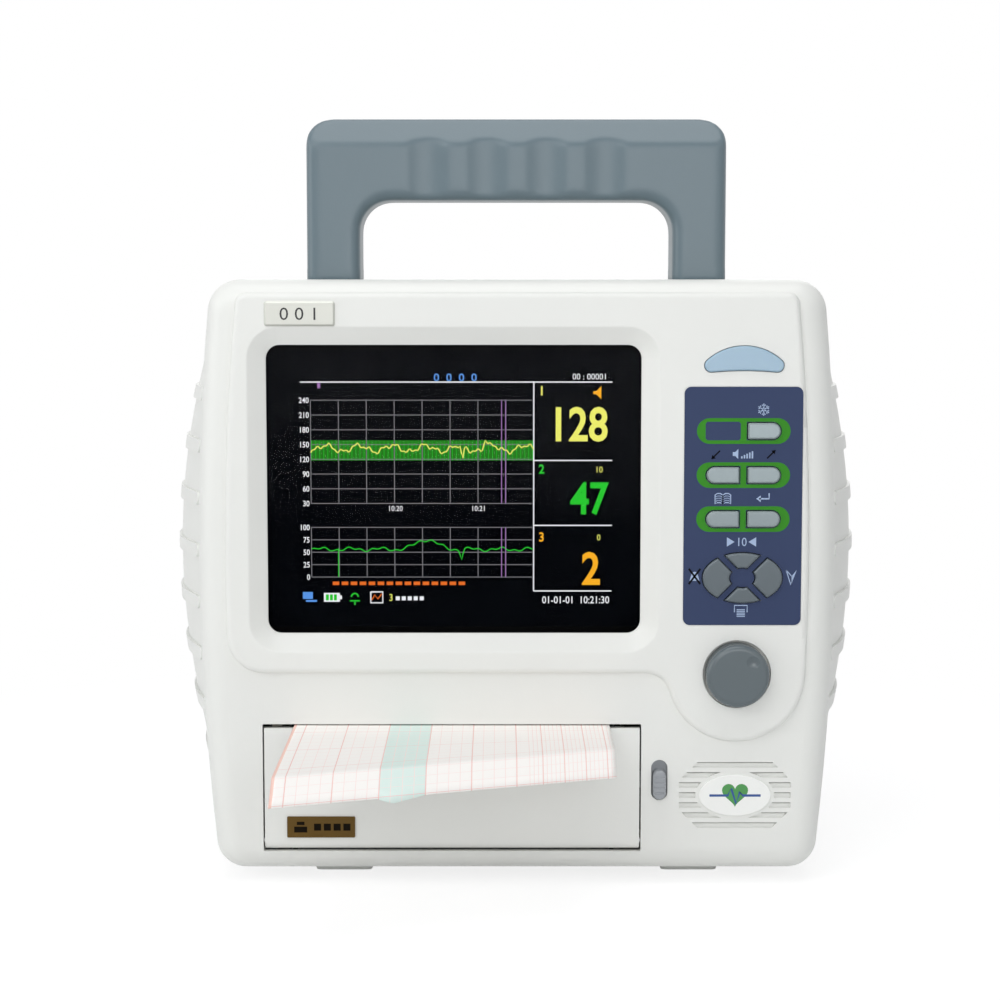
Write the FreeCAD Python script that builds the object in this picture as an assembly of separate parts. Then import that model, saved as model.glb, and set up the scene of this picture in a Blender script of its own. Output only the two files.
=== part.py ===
"""Portable bedside monitor with a strip-chart printer, a keypad, a push-turn knob and a fixed carrying handle.

Lengths are millimetres and +Z is up. The front faces -Y and +X is on the right of someone who looks at it.
The origin lies on the table, under the middle of the overall length, chart strip and earth stud included. A depth
is measured backwards from the front of the raised panel.
"""
import FreeCAD
import Part
import math
import os

Vec = FreeCAD.Vector

# Heights of the front, stacked from the table upwards
FOOT_HEIGHT = 5.0
DOOR_SILL = 7.9
DOOR_H = 45.4
PAPER_SLOT = 1.5
BRIDGE_H = 19.0
WINDOW_FOOT_MARGIN = 14.5
WINDOW_H = 105.1
WINDOW_HEAD_MARGIN = 18.8
PANEL_TOP_MARGIN = 4.8

# Widths of the front, stacked from the left side to the right
PANEL_SIDE_MARGIN = 10.7
WINDOW_SIDE_MARGIN = 15.3
WINDOW_W = 135.9
WINDOW_KEYPAD_GAP = 15.3
KEYPAD_W = 42.7
KEYPAD_SIDE_MARGIN = 3.2

# Case
BODY_DEPTH = 140.0
WALL = 2.5
PARTING = 22.0
PARTING_GAP = 0.3
BELLY_Z = 119.0
FRONT_SIDE_R = 1000.0
TOP_CORNER_R = 12.0
LOW_CORNER_R = 11.0
EDGE_ROUND = 9.5
SWELL = 12.0
SWELL_AT = 54.0
SWELL_SIDE_R = 310.0
BACK_SWELL = 2.0
BACK_SIDE_R = 600.0
BACK_CORNER_R = 16.0
BACK_ROUND = 10.0
RIB_COUNT = 8
RIB_PITCH = 19.6
RIB_HEIGHT = 5.0
RIB_PROUD = 1.2
RIB_FRONT = 25.0
RIB_LENGTH = 72.0
RIB_MIDDLE_Z = 112.0

# Raised panel
PANEL_RISE = 2.5
PANEL_ROUND = 2.2
PANEL_TOP_R = 4.0
PANEL_LOW_R = 14.0
LOBE_R = 25.3
LOBE_FILLET = 9.0

# Display
WINDOW_R = 5.0
FLARE = 6.5
FLARE_DEPTH = 4.0
FLARE_ROUND = 1.5
GLASS_T = 2.0
GLASS_LAP = 3.0
GASKET_T = 0.5
GASKET_W = 3.0
LCD_SIDE_LAP = 4.0
LCD_END_LAP = 1.0
LCD_T = 8.5
LCD_SEAT = 0.3

# Keypad, alarm lens and name plate
KEYPAD_H = 86.5
KEYPAD_DROP = 15.0
KEYPAD_R = 2.4
OVERLAY_T = 0.4
OVERLAY_SINK = 0.2
KEY_W = 12.0
KEY_H = 6.0
KEY_SPREAD = 14.8
KEY_ROW_PITCH = 15.95
FIRST_ROW_DROP = 15.9
CROSS_DROP = 21.4
CROSS_W = 29.0
CROSS_H = 18.4
CROSS_HOLE_W = 9.3
CROSS_HOLE_H = 7.3
CROSS_GAP = 2.4
KEY_PROUD = 1.2
KEY_ROUND = 0.7
KEY_CORNER_R = 0.6
KEY_TRAVEL = 1.0
KEY_GAP = 0.25
KEY_FLANGE = 0.7
KEY_FLANGE_T = 1.0
KEY_SEAT = 0.3
SWITCH_W = 4.5
SWITCH_STEM_R = 1.3
SWITCH_STEM_L = 1.4
BOARD_T = 1.6
BOARD_GAP = 7.0
LENS_W = 28.5
LENS_H = 9.4
LENS_SAG = 0.6
LENS_TIP_R = 2.4
LENS_GAP = 5.3
LENS_PROUD = 0.8
NAMEPLATE_W = 25.5
NAMEPLATE_H = 9.0
NAMEPLATE_T = 1.0
NAMEPLATE_RISE = 11.2

# Push-turn knob
KNOB_R = 11.5
KNOB_PROUD = 6.0
KNOB_EDGE = 2.0
KNOB_GAP = 1.0
KNOB_TRAVEL = 0.8
WELL_DEPTH = 3.0
DIMPLE_R = 5.0
DIMPLE_DEPTH = 0.6
SHAFT_R = 3.0
RUNNING_GAP = 0.05
BUSH_WALL = 1.0
ENCODER_W = 12.0
SHAFT_GRIP = 5.0
SHAFT_TAIL = 4.0
PLUNGER_L = 1.5

# Printer
DOOR_GAP = 0.6
DOOR_SHIFT = 0.9
HINGE_R = 3.0
HINGE_PIN_R = 1.2
HINGE_PIN_L = 4.5
PAPER_W = 115.5
PRINTER_SIDE = 25.5
PAPER_T = 0.25
PAPER_GAP = 0.15
EAR_GAP = 2.7
EAR_T = 2.5
GEAR_GAP = 0.5
GEAR_W = 3.5
DOOR_EDGE_MARGIN = 1.9
SWING_GAP = 0.6
PLATEN_R = 6.0
PLATEN_BACK = 9.0
PLATEN_SHAFT_R = 2.5
PLATEN_END_GAP = 1.0
GEAR_MODULE = 0.75
PLATEN_TEETH = 18
IDLER_TEETH = 30
PINION_TEETH = 16
TOOTH_ADDENDUM = 0.8
TOOTH_DEDENDUM = 1.1
TOOTH_BACKLASH = 0.12
PRESSURE_ANGLE = 20.0
FLANK_POINTS = 4
PINION_ANGLE = -60.0
IDLER_AXLE_R = 2.0
MOTOR_SHAFT_R = 1.5
MOTOR_R = 12.5
MOTOR_L = 12.0
GEAR_PLATE_T = 1.2
HEAD_ANGLE = 35.0
HEAD_T = 3.0
HEAD_ABOVE = 9.0
HEAD_BELOW = 4.0
SINK_T = 4.0
SINK_FIN = 1.2
BAY_WALL = 1.5
BAY_SIDE_GAP = 1.3
BAY_FLOOR_Z = 13.7
BAY_SEAT = 0.3
PACK_BACK_SPACE = 23.0
PACK_H = 22.0
PACK_FRONT = 27.0
PACK_GAP = 0.3
TONGUE_REACH = 74.0
TONGUE_RIGHT_REACH = 34.0
TONGUE_DROP = 1.9
LIP_REACH = 11.0
LIP_DROP = 7.6
TAB_START = 0.30
TAB_TIP = 0.345
TAB_END = 0.44
TAB_SHARE = 0.20
LABEL_W = 25.0
LABEL_H = 7.8
LABEL_T = 0.6
LABEL_LEFT = 8.2
LABEL_LOW = 8.6

# Door latch
LATCH_OFFSET = 7.3
LATCH_Z = 39.6
LATCH_W = 4.8
LATCH_H = 10.8
LATCH_TRAVEL = 3.0
LATCH_SIDE_GAP = 0.6
LATCH_PROUD = 2.5
LATCH_RIDGES = 4
LATCH_BACK_T = 1.5
LATCH_BACK_LAP = 2.0

# Speaker
GRILLE_W = 41.0
GRILLE_H = 25.0
GRILLE_CUT = 7.0
GRILLE_RAISE = 21.1
GRILLE_ROWS = 7
GRILLE_PITCH = 3.75
GROOVE_H = 1.9
GROOVE_DEPTH = 1.0
SLIT_H = 0.5
BADGE_W = 26.6
BADGE_H = 15.6
BADGE_T = 0.8
BADGE_MARGIN = 1.2
SPEAKER_R = 14.0
SPEAKER_DEPTH = 14.0

# Handle
HANDLE_W = 160.0
HANDLE_SPAN = 119.0
HANDLE_RISE = 61.4
HANDLE_BAR = 31.0
HANDLE_DEPTH = 26.0
HANDLE_AT = 48.0
HANDLE_OUTER_R = 9.5
HANDLE_INNER_R = 11.5
HANDLE_ROUND = 4.0
FACET_DROP = 10.0
FACET_RUN = 6.5
SCALLOPS = 4
SCALLOP_PITCH = 22.5
SCALLOP_W = 15.4
SCALLOP_DEPTH = 1.4
HANDLE_SCREW_PITCH = 13.0

# Inner frame and supply
BOSS_R = 3.0
CHASSIS_T = 1.5
CHASSIS_BOSS_GAP = 4.9
MAIN_BOARD_GAP = 4.5
MAIN_BOARD_INSET = 9.0
SUPPLY_W = 68.0
SUPPLY_H = 78.0
SUPPLY_T = 36.0
SUPPLY_X = 62.0
SUPPLY_Z = 150.0
BATTERY_W = 44.0
BATTERY_H = 42.0
BATTERY_SIDE_GAP = 8.0
COVER_T = 1.5
COVER_LAP = 5.0
COVER_FOOT_GAP = 2.0
SEAT_GAP = 0.3

# Fasteners
SCREW_R = 1.5
SCREW_HEAD_R = 2.8
SCREW_HEAD_T = 1.8
SCREW_FIT = 0.05
SCREW_GRIP = 6.0
CASE_SCREW_INSET_X = 19.0
CASE_SCREW_LOW = 9.0
CASE_SCREW_HIGH = 16.0
CASE_TUBE_R = 4.5
CASE_SCREW_SEAT = 10.0

# Feet
FOOT_X = 65.3
FOOT_MARGIN = 29.0
FOOT_W = 24.0
FOOT_L = 12.0
FOOT_TAPER = 1.5
FOOT_PEG_R = 2.5

# Back panel
INLET_X = 76.0
INLET_Z = 33.0
INLET_FLANGE_W = 48.0
INLET_FLANGE_H = 23.0
INLET_FLANGE_T = 2.0
INLET_BODY_W = 27.4
INLET_BODY_H = 20.0
INLET_SOCKET_W = 24.4
INLET_SOCKET_H = 17.0
INLET_CHAMFER = 5.0
INLET_DEPTH = 15.0
INLET_FLOOR = 2.0
PIN_W = 2.0
PIN_H = 4.0
PIN_L = 11.0
PIN_SPREAD = 7.0
PIN_EARTH_RISE = 4.0
SWITCH_X = 36.0
ROCKER_R = 5.2
ROCKER_L = 15.0
ROCKER_TILT = 8.0
ROCKER_FACE = 3.4
ROCKER_PIVOT_R = 1.0
ROCKER_GAP = 0.25
ROCKER_FRAME_RIM = 2.2
ROCKER_FRAME_T = 1.5
STUD_X = 8.0
STUD_R = 3.0
STUD_L = 14.0
STUD_NUT_R = 5.5
STUD_NUT_T = 4.0
SOCKET_FIRST_X = -35.0
SOCKET_PITCH = 26.0
SOCKET_COUNT = 3
SOCKET_Z = 78.0
SOCKET_BORE_R = 5.0
SOCKET_BORE_L = 10.0
SOCKET_WALL = 2.0
SOCKET_FLANGE_R = 9.5
SOCKET_FLANGE_T = 2.5
VENT_COUNT = 9
VENT_PITCH = 7.0
VENT_W = 70.0
VENT_H = 3.0
VENT_X = -40.0
VENT_Z = 165.0

# Places that follow from the sizes above
FRONT_Y = (TONGUE_REACH + LIP_REACH - BODY_DEPTH - STUD_L) / 2
PRINTER_MARGIN = PRINTER_SIDE + (PAPER_W - WINDOW_W) / 2
WINDOW_LEFT = max(WINDOW_SIDE_MARGIN, PRINTER_MARGIN)
WINDOW_RIGHT = max(WINDOW_KEYPAD_GAP, PRINTER_MARGIN)
HALF = PANEL_SIDE_MARGIN + (WINDOW_LEFT + WINDOW_W + WINDOW_RIGHT + KEYPAD_W + KEYPAD_SIDE_MARGIN) / 2
DOOR_W = PAPER_W + 2 * (EAR_GAP + EAR_T + GEAR_GAP + GEAR_W + DOOR_EDGE_MARGIN)
BODY_LOW = FOOT_HEIGHT
OPENING_LOW = BODY_LOW + DOOR_SILL
DOOR_LOW = OPENING_LOW + DOOR_GAP
DOOR_TOP = DOOR_LOW + DOOR_H
OPENING_TOP = DOOR_TOP + PAPER_SLOT
PANEL_FOOT = OPENING_TOP + BRIDGE_H
WINDOW_LOW = PANEL_FOOT + WINDOW_FOOT_MARGIN
WINDOW_TOP = WINDOW_LOW + WINDOW_H
PANEL_TOP = WINDOW_TOP + WINDOW_HEAD_MARGIN
BODY_TOP = PANEL_TOP + PANEL_TOP_MARGIN
INNER_DEPTH = PANEL_RISE + WALL
REAR_FRONT = PARTING + PARTING_GAP
FLOOR_Z = BODY_LOW + WALL

WINDOW_X = -HALF + PANEL_SIDE_MARGIN + WINDOW_LEFT + WINDOW_W / 2
WINDOW_Z = (WINDOW_LOW + WINDOW_TOP) / 2
KEYPAD_X = HALF - PANEL_SIDE_MARGIN - KEYPAD_SIDE_MARGIN - KEYPAD_W / 2
KEYPAD_TOP = WINDOW_TOP - KEYPAD_DROP
KEYPAD_Z = KEYPAD_TOP - KEYPAD_H / 2
FIRST_ROW_Z = KEYPAD_TOP - FIRST_ROW_DROP
CROSS_Z = FIRST_ROW_Z - 2 * KEY_ROW_PITCH - CROSS_DROP
LENS_Z = KEYPAD_TOP + LENS_GAP + LENS_H / 2
NAMEPLATE_X = WINDOW_X - WINDOW_W / 2 + NAMEPLATE_W / 2
NAMEPLATE_Z = WINDOW_TOP + NAMEPLATE_RISE
KEY_BACK = INNER_DEPTH + KEY_SEAT + KEY_FLANGE_T
BOARD_DEPTH = INNER_DEPTH + BOARD_GAP

PANEL_SIDE_R = FRONT_SIDE_R - PANEL_SIDE_MARGIN
SIDE_CENTRE_X = HALF - FRONT_SIDE_R
KNOB_Z = PANEL_FOOT
KNOB_X = SIDE_CENTRE_X + math.sqrt((PANEL_SIDE_R - LOBE_R) ** 2 - (KNOB_Z - BELLY_Z) ** 2)
WELL_R = KNOB_R + KNOB_GAP

PRINTER_X = WINDOW_X - DOOR_SHIFT
DOOR_LEFT = PRINTER_X - DOOR_W / 2
DOOR_RIGHT = PRINTER_X + DOOR_W / 2
HINGE_DEPTH = PANEL_RISE + HINGE_R
HINGE_Z = DOOR_LOW + HINGE_R
PLATEN_TIP_R = GEAR_MODULE * (PLATEN_TEETH / 2 + TOOTH_ADDENDUM)
PLATEN_REACH = OPENING_TOP - HINGE_Z - SWING_GAP - max(PLATEN_TIP_R, PLATEN_R)
PLATEN_DEPTH = HINGE_DEPTH + PLATEN_BACK
PLATEN_Z = HINGE_Z + math.sqrt(PLATEN_REACH ** 2 - PLATEN_BACK ** 2)
EAR_INNER = PAPER_W / 2 + EAR_GAP
EAR_OUTER = EAR_INNER + EAR_T
GEAR_RIGHT = PRINTER_X - EAR_OUTER - GEAR_GAP
GEAR_LEFT = GEAR_RIGHT - GEAR_W
IDLER_DEPTH = PLATEN_DEPTH + GEAR_MODULE * (PLATEN_TEETH + IDLER_TEETH) / 2
IDLER_Z = PLATEN_Z
PINION_DISTANCE = GEAR_MODULE * (IDLER_TEETH + PINION_TEETH) / 2
PINION_DEPTH = IDLER_DEPTH + PINION_DISTANCE * math.cos(math.radians(PINION_ANGLE))
PINION_Z = IDLER_Z + PINION_DISTANCE * math.sin(math.radians(PINION_ANGLE))
PLATE_RIGHT = GEAR_LEFT - GEAR_GAP
PLATE_LEFT = PLATE_RIGHT - GEAR_PLATE_T
BAY_INNER = PAPER_W / 2 + BAY_SIDE_GAP
BAY_OUTER = BAY_INNER + BAY_WALL
PACK_TOP = BAY_FLOOR_Z + PACK_GAP + PACK_H
PACK_BACK = BODY_DEPTH - PACK_BACK_SPACE
PAPER_R = PLATEN_R + PAPER_GAP + PAPER_T / 2
HEAD_FACE = PLATEN_R + 2 * PAPER_GAP + PAPER_T
SLOT_Z = DOOR_TOP + 0.6 * PAPER_SLOT
LATCH_X = DOOR_RIGHT + LATCH_OFFSET

GRILLE_X = KNOB_X
GRILLE_Z = OPENING_LOW + GRILLE_RAISE
GLASS_BACK = INNER_DEPTH + GLASS_T
LCD_W = WINDOW_W + 2 * LCD_SIDE_LAP
LCD_H = WINDOW_H + 2 * LCD_END_LAP
LCD_FRONT = GLASS_BACK + GASKET_T
LCD_BACK = LCD_FRONT + LCD_T
CHASSIS_X = LCD_W / 2 + CHASSIS_BOSS_GAP
CHASSIS_Z = LCD_H / 2 - BOSS_R
MAIN_BOARD_FRONT = LCD_BACK + LCD_SEAT + CHASSIS_T + MAIN_BOARD_GAP
CASE_SCREW_X = HALF - CASE_SCREW_INSET_X
CASE_SCREW_ZS = (BODY_LOW + CASE_SCREW_LOW, BODY_TOP - CASE_SCREW_HIGH)
BATTERY_X = PRINTER_X + BAY_OUTER + BATTERY_SIDE_GAP + BATTERY_W / 2
BATTERY_FRONT = FOOT_MARGIN + FOOT_L / 2 + COVER_FOOT_GAP + 2 * COVER_LAP
BATTERY_L = BODY_DEPTH - 2 * BATTERY_FRONT
BATTERY_DEPTH = BATTERY_FRONT + BATTERY_L / 2


def at(depth):
    """Y of the plane that lies this deep behind the front of the raised panel."""
    return FRONT_Y + depth


def block(x0, x1, d0, d1, z0, z1):
    """Box between two values of x, of depth and of height."""
    return Part.makeBox(x1 - x0, d1 - d0, z1 - z0, Vec(x0, at(d0), z0))


def rod_x(radius, x0, x1, depth, z):
    """Cylinder that runs from left to right."""
    return Part.makeCylinder(radius, x1 - x0, Vec(x0, at(depth), z), Vec(1, 0, 0))


def rod_y(radius, x, z, d0, d1):
    """Cylinder that runs from front to back."""
    return Part.makeCylinder(radius, d1 - d0, Vec(x, at(d0), z), Vec(0, 1, 0))


def rod_z(radius, x, depth, z0, z1):
    """Upright cylinder."""
    return Part.makeCylinder(radius, z1 - z0, Vec(x, at(depth), z0), Vec(0, 0, 1))


def rounded_polygon(points, radii):
    """Closed wire through the points, with each corner rounded by its own radius."""
    count = len(points)
    arcs = []
    for i in range(count):
        here = points[i]
        back = (points[i - 1] - here).normalize()
        ahead = (points[(i + 1) % count] - here).normalize()
        half_angle = math.acos(max(-1.0, min(1.0, back.dot(ahead)))) / 2
        if radii[i] <= 0:
            arcs.append((here, here, here))
            continue
        reach = radii[i] / math.tan(half_angle)
        inward = (back + ahead).normalize()
        middle = here + inward * (radii[i] / math.sin(half_angle) - radii[i])
        arcs.append((here + back * reach, middle, here + ahead * reach))
    edges = []
    for i in range(count):
        start, middle, end = arcs[i]
        if radii[i] > 0:
            edges.append(Part.Arc(start, middle, end).toShape())
        following = arcs[(i + 1) % count][0]
        if (following - end).Length > 1e-6:
            edges.append(Part.LineSegment(end, following).toShape())
    return Part.Wire(edges)


def rectangle(x, z, width, height, radius, depth):
    """Upright rectangle with round corners, seen from the front."""
    corners = [(-1, -1), (1, -1), (1, 1), (-1, 1)]
    points = [Vec(x + sx * width / 2, at(depth), z + sz * height / 2) for sx, sz in corners]
    return rounded_polygon(points, [radius] * 4)


def extrude_back(wire, length):
    """Solid swept backwards from an upright outline."""
    return Part.Face(wire).extrude(Vec(0, length, 0))


def plate(x, z, width, height, radius, d0, d1):
    """Upright plate with round corners."""
    return extrude_back(rectangle(x, z, width, height, radius, d0), d1 - d0)


def flat_plate(x, depth, width, length, radius, z0, z1):
    """Lying plate with round corners."""
    corners = [(-1, -1), (1, -1), (1, 1), (-1, 1)]
    points = [Vec(x + sx * width / 2, at(depth) + sy * length / 2, z0) for sx, sy in corners]
    return Part.Face(rounded_polygon(points, [radius] * 4)).extrude(Vec(0, 0, z1 - z0))


def ellipse_plate(x, z, width, height, d0, d1):
    """Upright oval plate, wider than it is tall."""
    oval = Part.Ellipse(Vec(x, at(d0), z), width / 2, height / 2)
    edge = Part.Ellipse(Vec(x + width / 2, at(d0), z), Vec(x, at(d0), z + height / 2), oval.Center).toShape()
    return extrude_back(Part.Wire([edge]), d1 - d0)


def side_profile(points, radii, x0, x1):
    """Solid from an outline of (depth, height) points, swept from left to right."""
    corners = [Vec(x0, at(depth), z) for depth, z in points]
    return Part.Face(rounded_polygon(corners, radii)).extrude(Vec(x1 - x0, 0, 0))


def edges_on_depth(shape, depth):
    """Edges that lie wholly in the upright plane at this depth."""
    found = []
    for edge in shape.Edges:
        box = edge.BoundBox
        if abs(box.YMin - at(depth)) < 1e-4 and abs(box.YMax - at(depth)) < 1e-4:
            found.append(edge)
    return found


def round_front(shape, depth, radius):
    """Rounds every edge of the face at this depth."""
    return shape.makeFillet(radius, edges_on_depth(shape, depth))


def turned(profile, x, z):
    """Solid of revolution about a front-to-back axis, from (radius, depth) points."""
    points = [Vec(x + radius, at(depth), z) for radius, depth in profile]
    face = Part.Face(Part.makePolygon(points + [points[0]]))
    return face.revolve(Vec(x, at(0), z), Vec(0, 1, 0), 360)


def grouped(shapes):
    """Several separate solids kept together as one node."""
    return Part.makeCompound(shapes)


def screw(place, direction, shank):
    """Pan-head screw whose head rests on the given place."""
    body = Part.makeCylinder(SCREW_R, shank, place, direction)
    head = Part.makeCylinder(SCREW_HEAD_R, SCREW_HEAD_T, place - direction * SCREW_HEAD_T, direction)
    return body.fuse(head).removeSplitter()


def case_outline(half, side_r, low_r, high_r, inset, depth):
    """Outline of the case at one depth: level top and bottom, bowed sides and round corners."""
    radius = side_r - inset
    centre_x = half - side_r
    z_low = BODY_LOW + inset
    z_high = BODY_TOP - inset

    def corner(z_edge, r, inward):
        zc = z_edge + inward * r
        xc = centre_x + math.sqrt((radius - r) ** 2 - (zc - BELLY_Z) ** 2)
        ux = (xc - centre_x) / (radius - r)
        uz = (zc - BELLY_Z) / (radius - r)
        spread = math.hypot(ux, uz - inward)
        on_edge = (xc, z_edge)
        middle = (xc + r * ux / spread, zc + r * (uz - inward) / spread)
        on_side = (centre_x + radius * ux, BELLY_Z + radius * uz)
        return on_edge, middle, on_side

    low_edge, low_middle, low_side = corner(z_low, low_r - inset, 1)
    high_edge, high_middle, high_side = corner(z_high, high_r - inset, -1)
    belly = (half - inset, BELLY_Z)

    def point(pair, side):
        return Vec(side * pair[0], at(depth), pair[1])

    def arc(a, b, c, side):
        return Part.Arc(point(a, side), point(b, side), point(c, side)).toShape()

    def line(a, side_a, b, side_b):
        return Part.LineSegment(point(a, side_a), point(b, side_b)).toShape()

    return Part.Wire([
        line(low_edge, -1, low_edge, 1),
        arc(low_edge, low_middle, low_side, 1),
        arc(low_side, belly, high_side, 1),
        arc(high_side, high_middle, high_edge, 1),
        line(high_edge, 1, high_edge, -1),
        arc(high_edge, high_middle, high_side, -1),
        arc(high_side, belly, low_side, -1),
        arc(low_side, low_middle, low_edge, -1),
    ])


def front_outline(inset, depth):
    """Case outline from the front edge back to the parting line."""
    return case_outline(HALF, FRONT_SIDE_R, LOW_CORNER_R, TOP_CORNER_R, inset, depth)


def front_block(inset):
    """Front half of the case as a full block with its rounded front edge."""
    front = PANEL_RISE + inset
    solid = extrude_back(front_outline(inset, front), PARTING - front)
    rounding = min(EDGE_ROUND, 0.95 * min(LOW_CORNER_R, TOP_CORNER_R)) - inset
    return round_front(solid, front, rounding)


def rear_loft(inset):
    """Swelling rear half of the case as a full block, square at the back."""
    back = BODY_DEPTH - max(inset, 0)
    sections = [
        front_outline(inset, REAR_FRONT),
        case_outline(HALF + SWELL, SWELL_SIDE_R, LOW_CORNER_R, TOP_CORNER_R, inset, SWELL_AT),
        case_outline(HALF + BACK_SWELL, BACK_SIDE_R, BACK_CORNER_R, BACK_CORNER_R, inset, back),
    ]
    return Part.makeLoft(sections, True, False)


def rear_block(inset):
    """Swelling rear half of the case with its rounded back edge."""
    rounding = min(BACK_ROUND, 0.9 * BACK_CORNER_R) - inset
    return round_front(rear_loft(inset), BODY_DEPTH - inset, rounding)


def panel_outline(depth):
    """Raised panel: bowed sides, a round lobe about the knob and a hollow curve beside the lobe."""
    r_side = PANEL_SIDE_R
    cx = SIDE_CENTRE_X

    def corner(z_edge, r, inward, side):
        zc = z_edge + inward * r
        xc = cx + math.sqrt((r_side - r) ** 2 - (zc - BELLY_Z) ** 2)
        ux = (xc - cx) / (r_side - r)
        uz = (zc - BELLY_Z) / (r_side - r)
        spread = math.hypot(ux, uz - inward)
        on_edge = (side * xc, z_edge)
        middle = (side * (xc + r * ux / spread), zc + r * (uz - inward) / spread)
        on_side = (side * (cx + r_side * ux), BELLY_Z + r_side * uz)
        return on_edge, middle, on_side

    top_edge, top_mid, top_side = corner(PANEL_TOP, PANEL_TOP_R, -1, 1)
    left_edge, left_mid, left_side = corner(PANEL_TOP, PANEL_TOP_R, -1, -1)
    foot_edge, foot_mid, foot_side = corner(PANEL_FOOT, PANEL_LOW_R, 1, -1)
    belly = HALF - PANEL_SIDE_MARGIN

    lobe_ux = (KNOB_X - cx) / (r_side - LOBE_R)
    lobe_uz = (KNOB_Z - BELLY_Z) / (r_side - LOBE_R)
    lobe_side = (cx + r_side * lobe_ux, BELLY_Z + r_side * lobe_uz)
    fillet_z = PANEL_FOOT - LOBE_FILLET
    fillet_x = KNOB_X - math.sqrt((LOBE_R + LOBE_FILLET) ** 2 - (KNOB_Z - fillet_z) ** 2)
    share = LOBE_R / (LOBE_R + LOBE_FILLET)
    meet = (KNOB_X + (fillet_x - KNOB_X) * share, KNOB_Z + (fillet_z - KNOB_Z) * share)
    lobe_low = (KNOB_X, KNOB_Z - LOBE_R)
    meet_angle = math.atan2(meet[1] - fillet_z, meet[0] - fillet_x)
    middle_angle = (meet_angle + math.pi / 2) / 2
    fillet_mid = (fillet_x + LOBE_FILLET * math.cos(middle_angle), fillet_z + LOBE_FILLET * math.sin(middle_angle))
    fillet_end = (fillet_x, PANEL_FOOT)

    def point(pair):
        return Vec(pair[0], at(depth), pair[1])

    def arc(a, b, c):
        return Part.Arc(point(a), point(b), point(c)).toShape()

    def line(a, b):
        return Part.LineSegment(point(a), point(b)).toShape()

    return Part.Wire([
        arc(top_side, (belly, BELLY_Z), lobe_side),
        arc(lobe_side, lobe_low, meet),
        arc(meet, fillet_mid, fillet_end),
        line(fillet_end, foot_edge),
        arc(foot_edge, foot_mid, foot_side),
        arc(foot_side, (-belly, BELLY_Z), left_side),
        arc(left_side, left_mid, left_edge),
        line(left_edge, top_edge),
        arc(top_edge, top_mid, top_side),
    ])


def raised_panel():
    """Raised panel with its rounded rim, deep enough to sink into the rounded case edge."""
    solid = extrude_back(panel_outline(0), PANEL_RISE + EDGE_ROUND)
    return round_front(solid, 0, min(PANEL_ROUND, 0.9 * PANEL_TOP_R))


def window_cut():
    """Sloping surround of the display and the opening behind it."""
    lead = 0.5
    spread = 2 * FLARE * (1 + lead / FLARE_DEPTH)
    outer = rectangle(WINDOW_X, WINDOW_Z, WINDOW_W + spread, WINDOW_H + spread, WINDOW_R + spread / 2, -lead)
    inner = rectangle(WINDOW_X, WINDOW_Z, WINDOW_W, WINDOW_H, WINDOW_R, FLARE_DEPTH)
    slope = Part.makeLoft([outer, inner], True, True)
    opening = plate(WINDOW_X, WINDOW_Z, WINDOW_W, WINDOW_H, WINDOW_R, FLARE_DEPTH - lead, INNER_DEPTH + lead)
    return slope.fuse(opening)


def d_key_outline(x, z, side, grow, depth):
    """Key that is round at its outer end and square at its inner end."""
    inner = x - side * (KEY_W / 2 + grow)
    outer = x + side * (KEY_W / 2 + grow)
    high = KEY_H / 2 + grow
    points = [
        Vec(inner, at(depth), z - high),
        Vec(outer, at(depth), z - high),
        Vec(outer, at(depth), z + high),
        Vec(inner, at(depth), z + high),
    ]
    corner = KEY_CORNER_R + grow
    return rounded_polygon(points, [corner, high * 0.999, high * 0.999, corner])


def cross_sectors(grow, d0, d1):
    """Four curved keys around a centre: right, up, left and down."""
    ring = ellipse_plate(KEYPAD_X, CROSS_Z, CROSS_W + 2 * grow, CROSS_H + 2 * grow, d0, d1)
    hole = ellipse_plate(KEYPAD_X, CROSS_Z, CROSS_HOLE_W - 2 * grow, CROSS_HOLE_H - 2 * grow, d0, d1)
    gap = CROSS_GAP - 2 * grow
    centre = Vec(KEYPAD_X, at(0), CROSS_Z)
    bands = []
    for angle in (45, -45):
        band = block(KEYPAD_X - CROSS_W, KEYPAD_X + CROSS_W, d0, d1, CROSS_Z - gap / 2, CROSS_Z + gap / 2)
        band.rotate(centre, Vec(0, 1, 0), angle)
        bands.append(band)
    solids = ring.cut(hole).cut(bands[0]).cut(bands[1]).Solids

    def bearing(solid):
        middle = solid.CenterOfMass
        return math.atan2(middle.z - CROSS_Z, middle.x - KEYPAD_X) % (2 * math.pi)

    return sorted(solids, key=lambda solid: (bearing(solid) + 0.1) % (2 * math.pi))


def key_places():
    """Name, centre and outer side of each D-shaped key; the first place on the left stays blank."""
    left = KEYPAD_X - KEY_SPREAD / 2
    right = KEYPAD_X + KEY_SPREAD / 2
    rows = [FIRST_ROW_Z - row * KEY_ROW_PITCH for row in range(3)]
    return [
        ("key_freeze", right, rows[0], 1),
        ("key_volume_down", left, rows[1], -1),
        ("key_volume_up", right, rows[1], 1),
        ("key_menu", left, rows[2], -1),
        ("key_enter", right, rows[2], 1),
    ]


CROSS_NAMES = ("key_right", "key_up", "key_left", "key_down")


def cross_places():
    """Centres of the four curved keys."""
    out_x = (CROSS_W + CROSS_HOLE_W) / 4
    out_z = (CROSS_H + CROSS_HOLE_H) / 4
    return [
        (KEYPAD_X + out_x, CROSS_Z),
        (KEYPAD_X, CROSS_Z + out_z),
        (KEYPAD_X - out_x, CROSS_Z),
        (KEYPAD_X, CROSS_Z - out_z),
    ]


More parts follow.
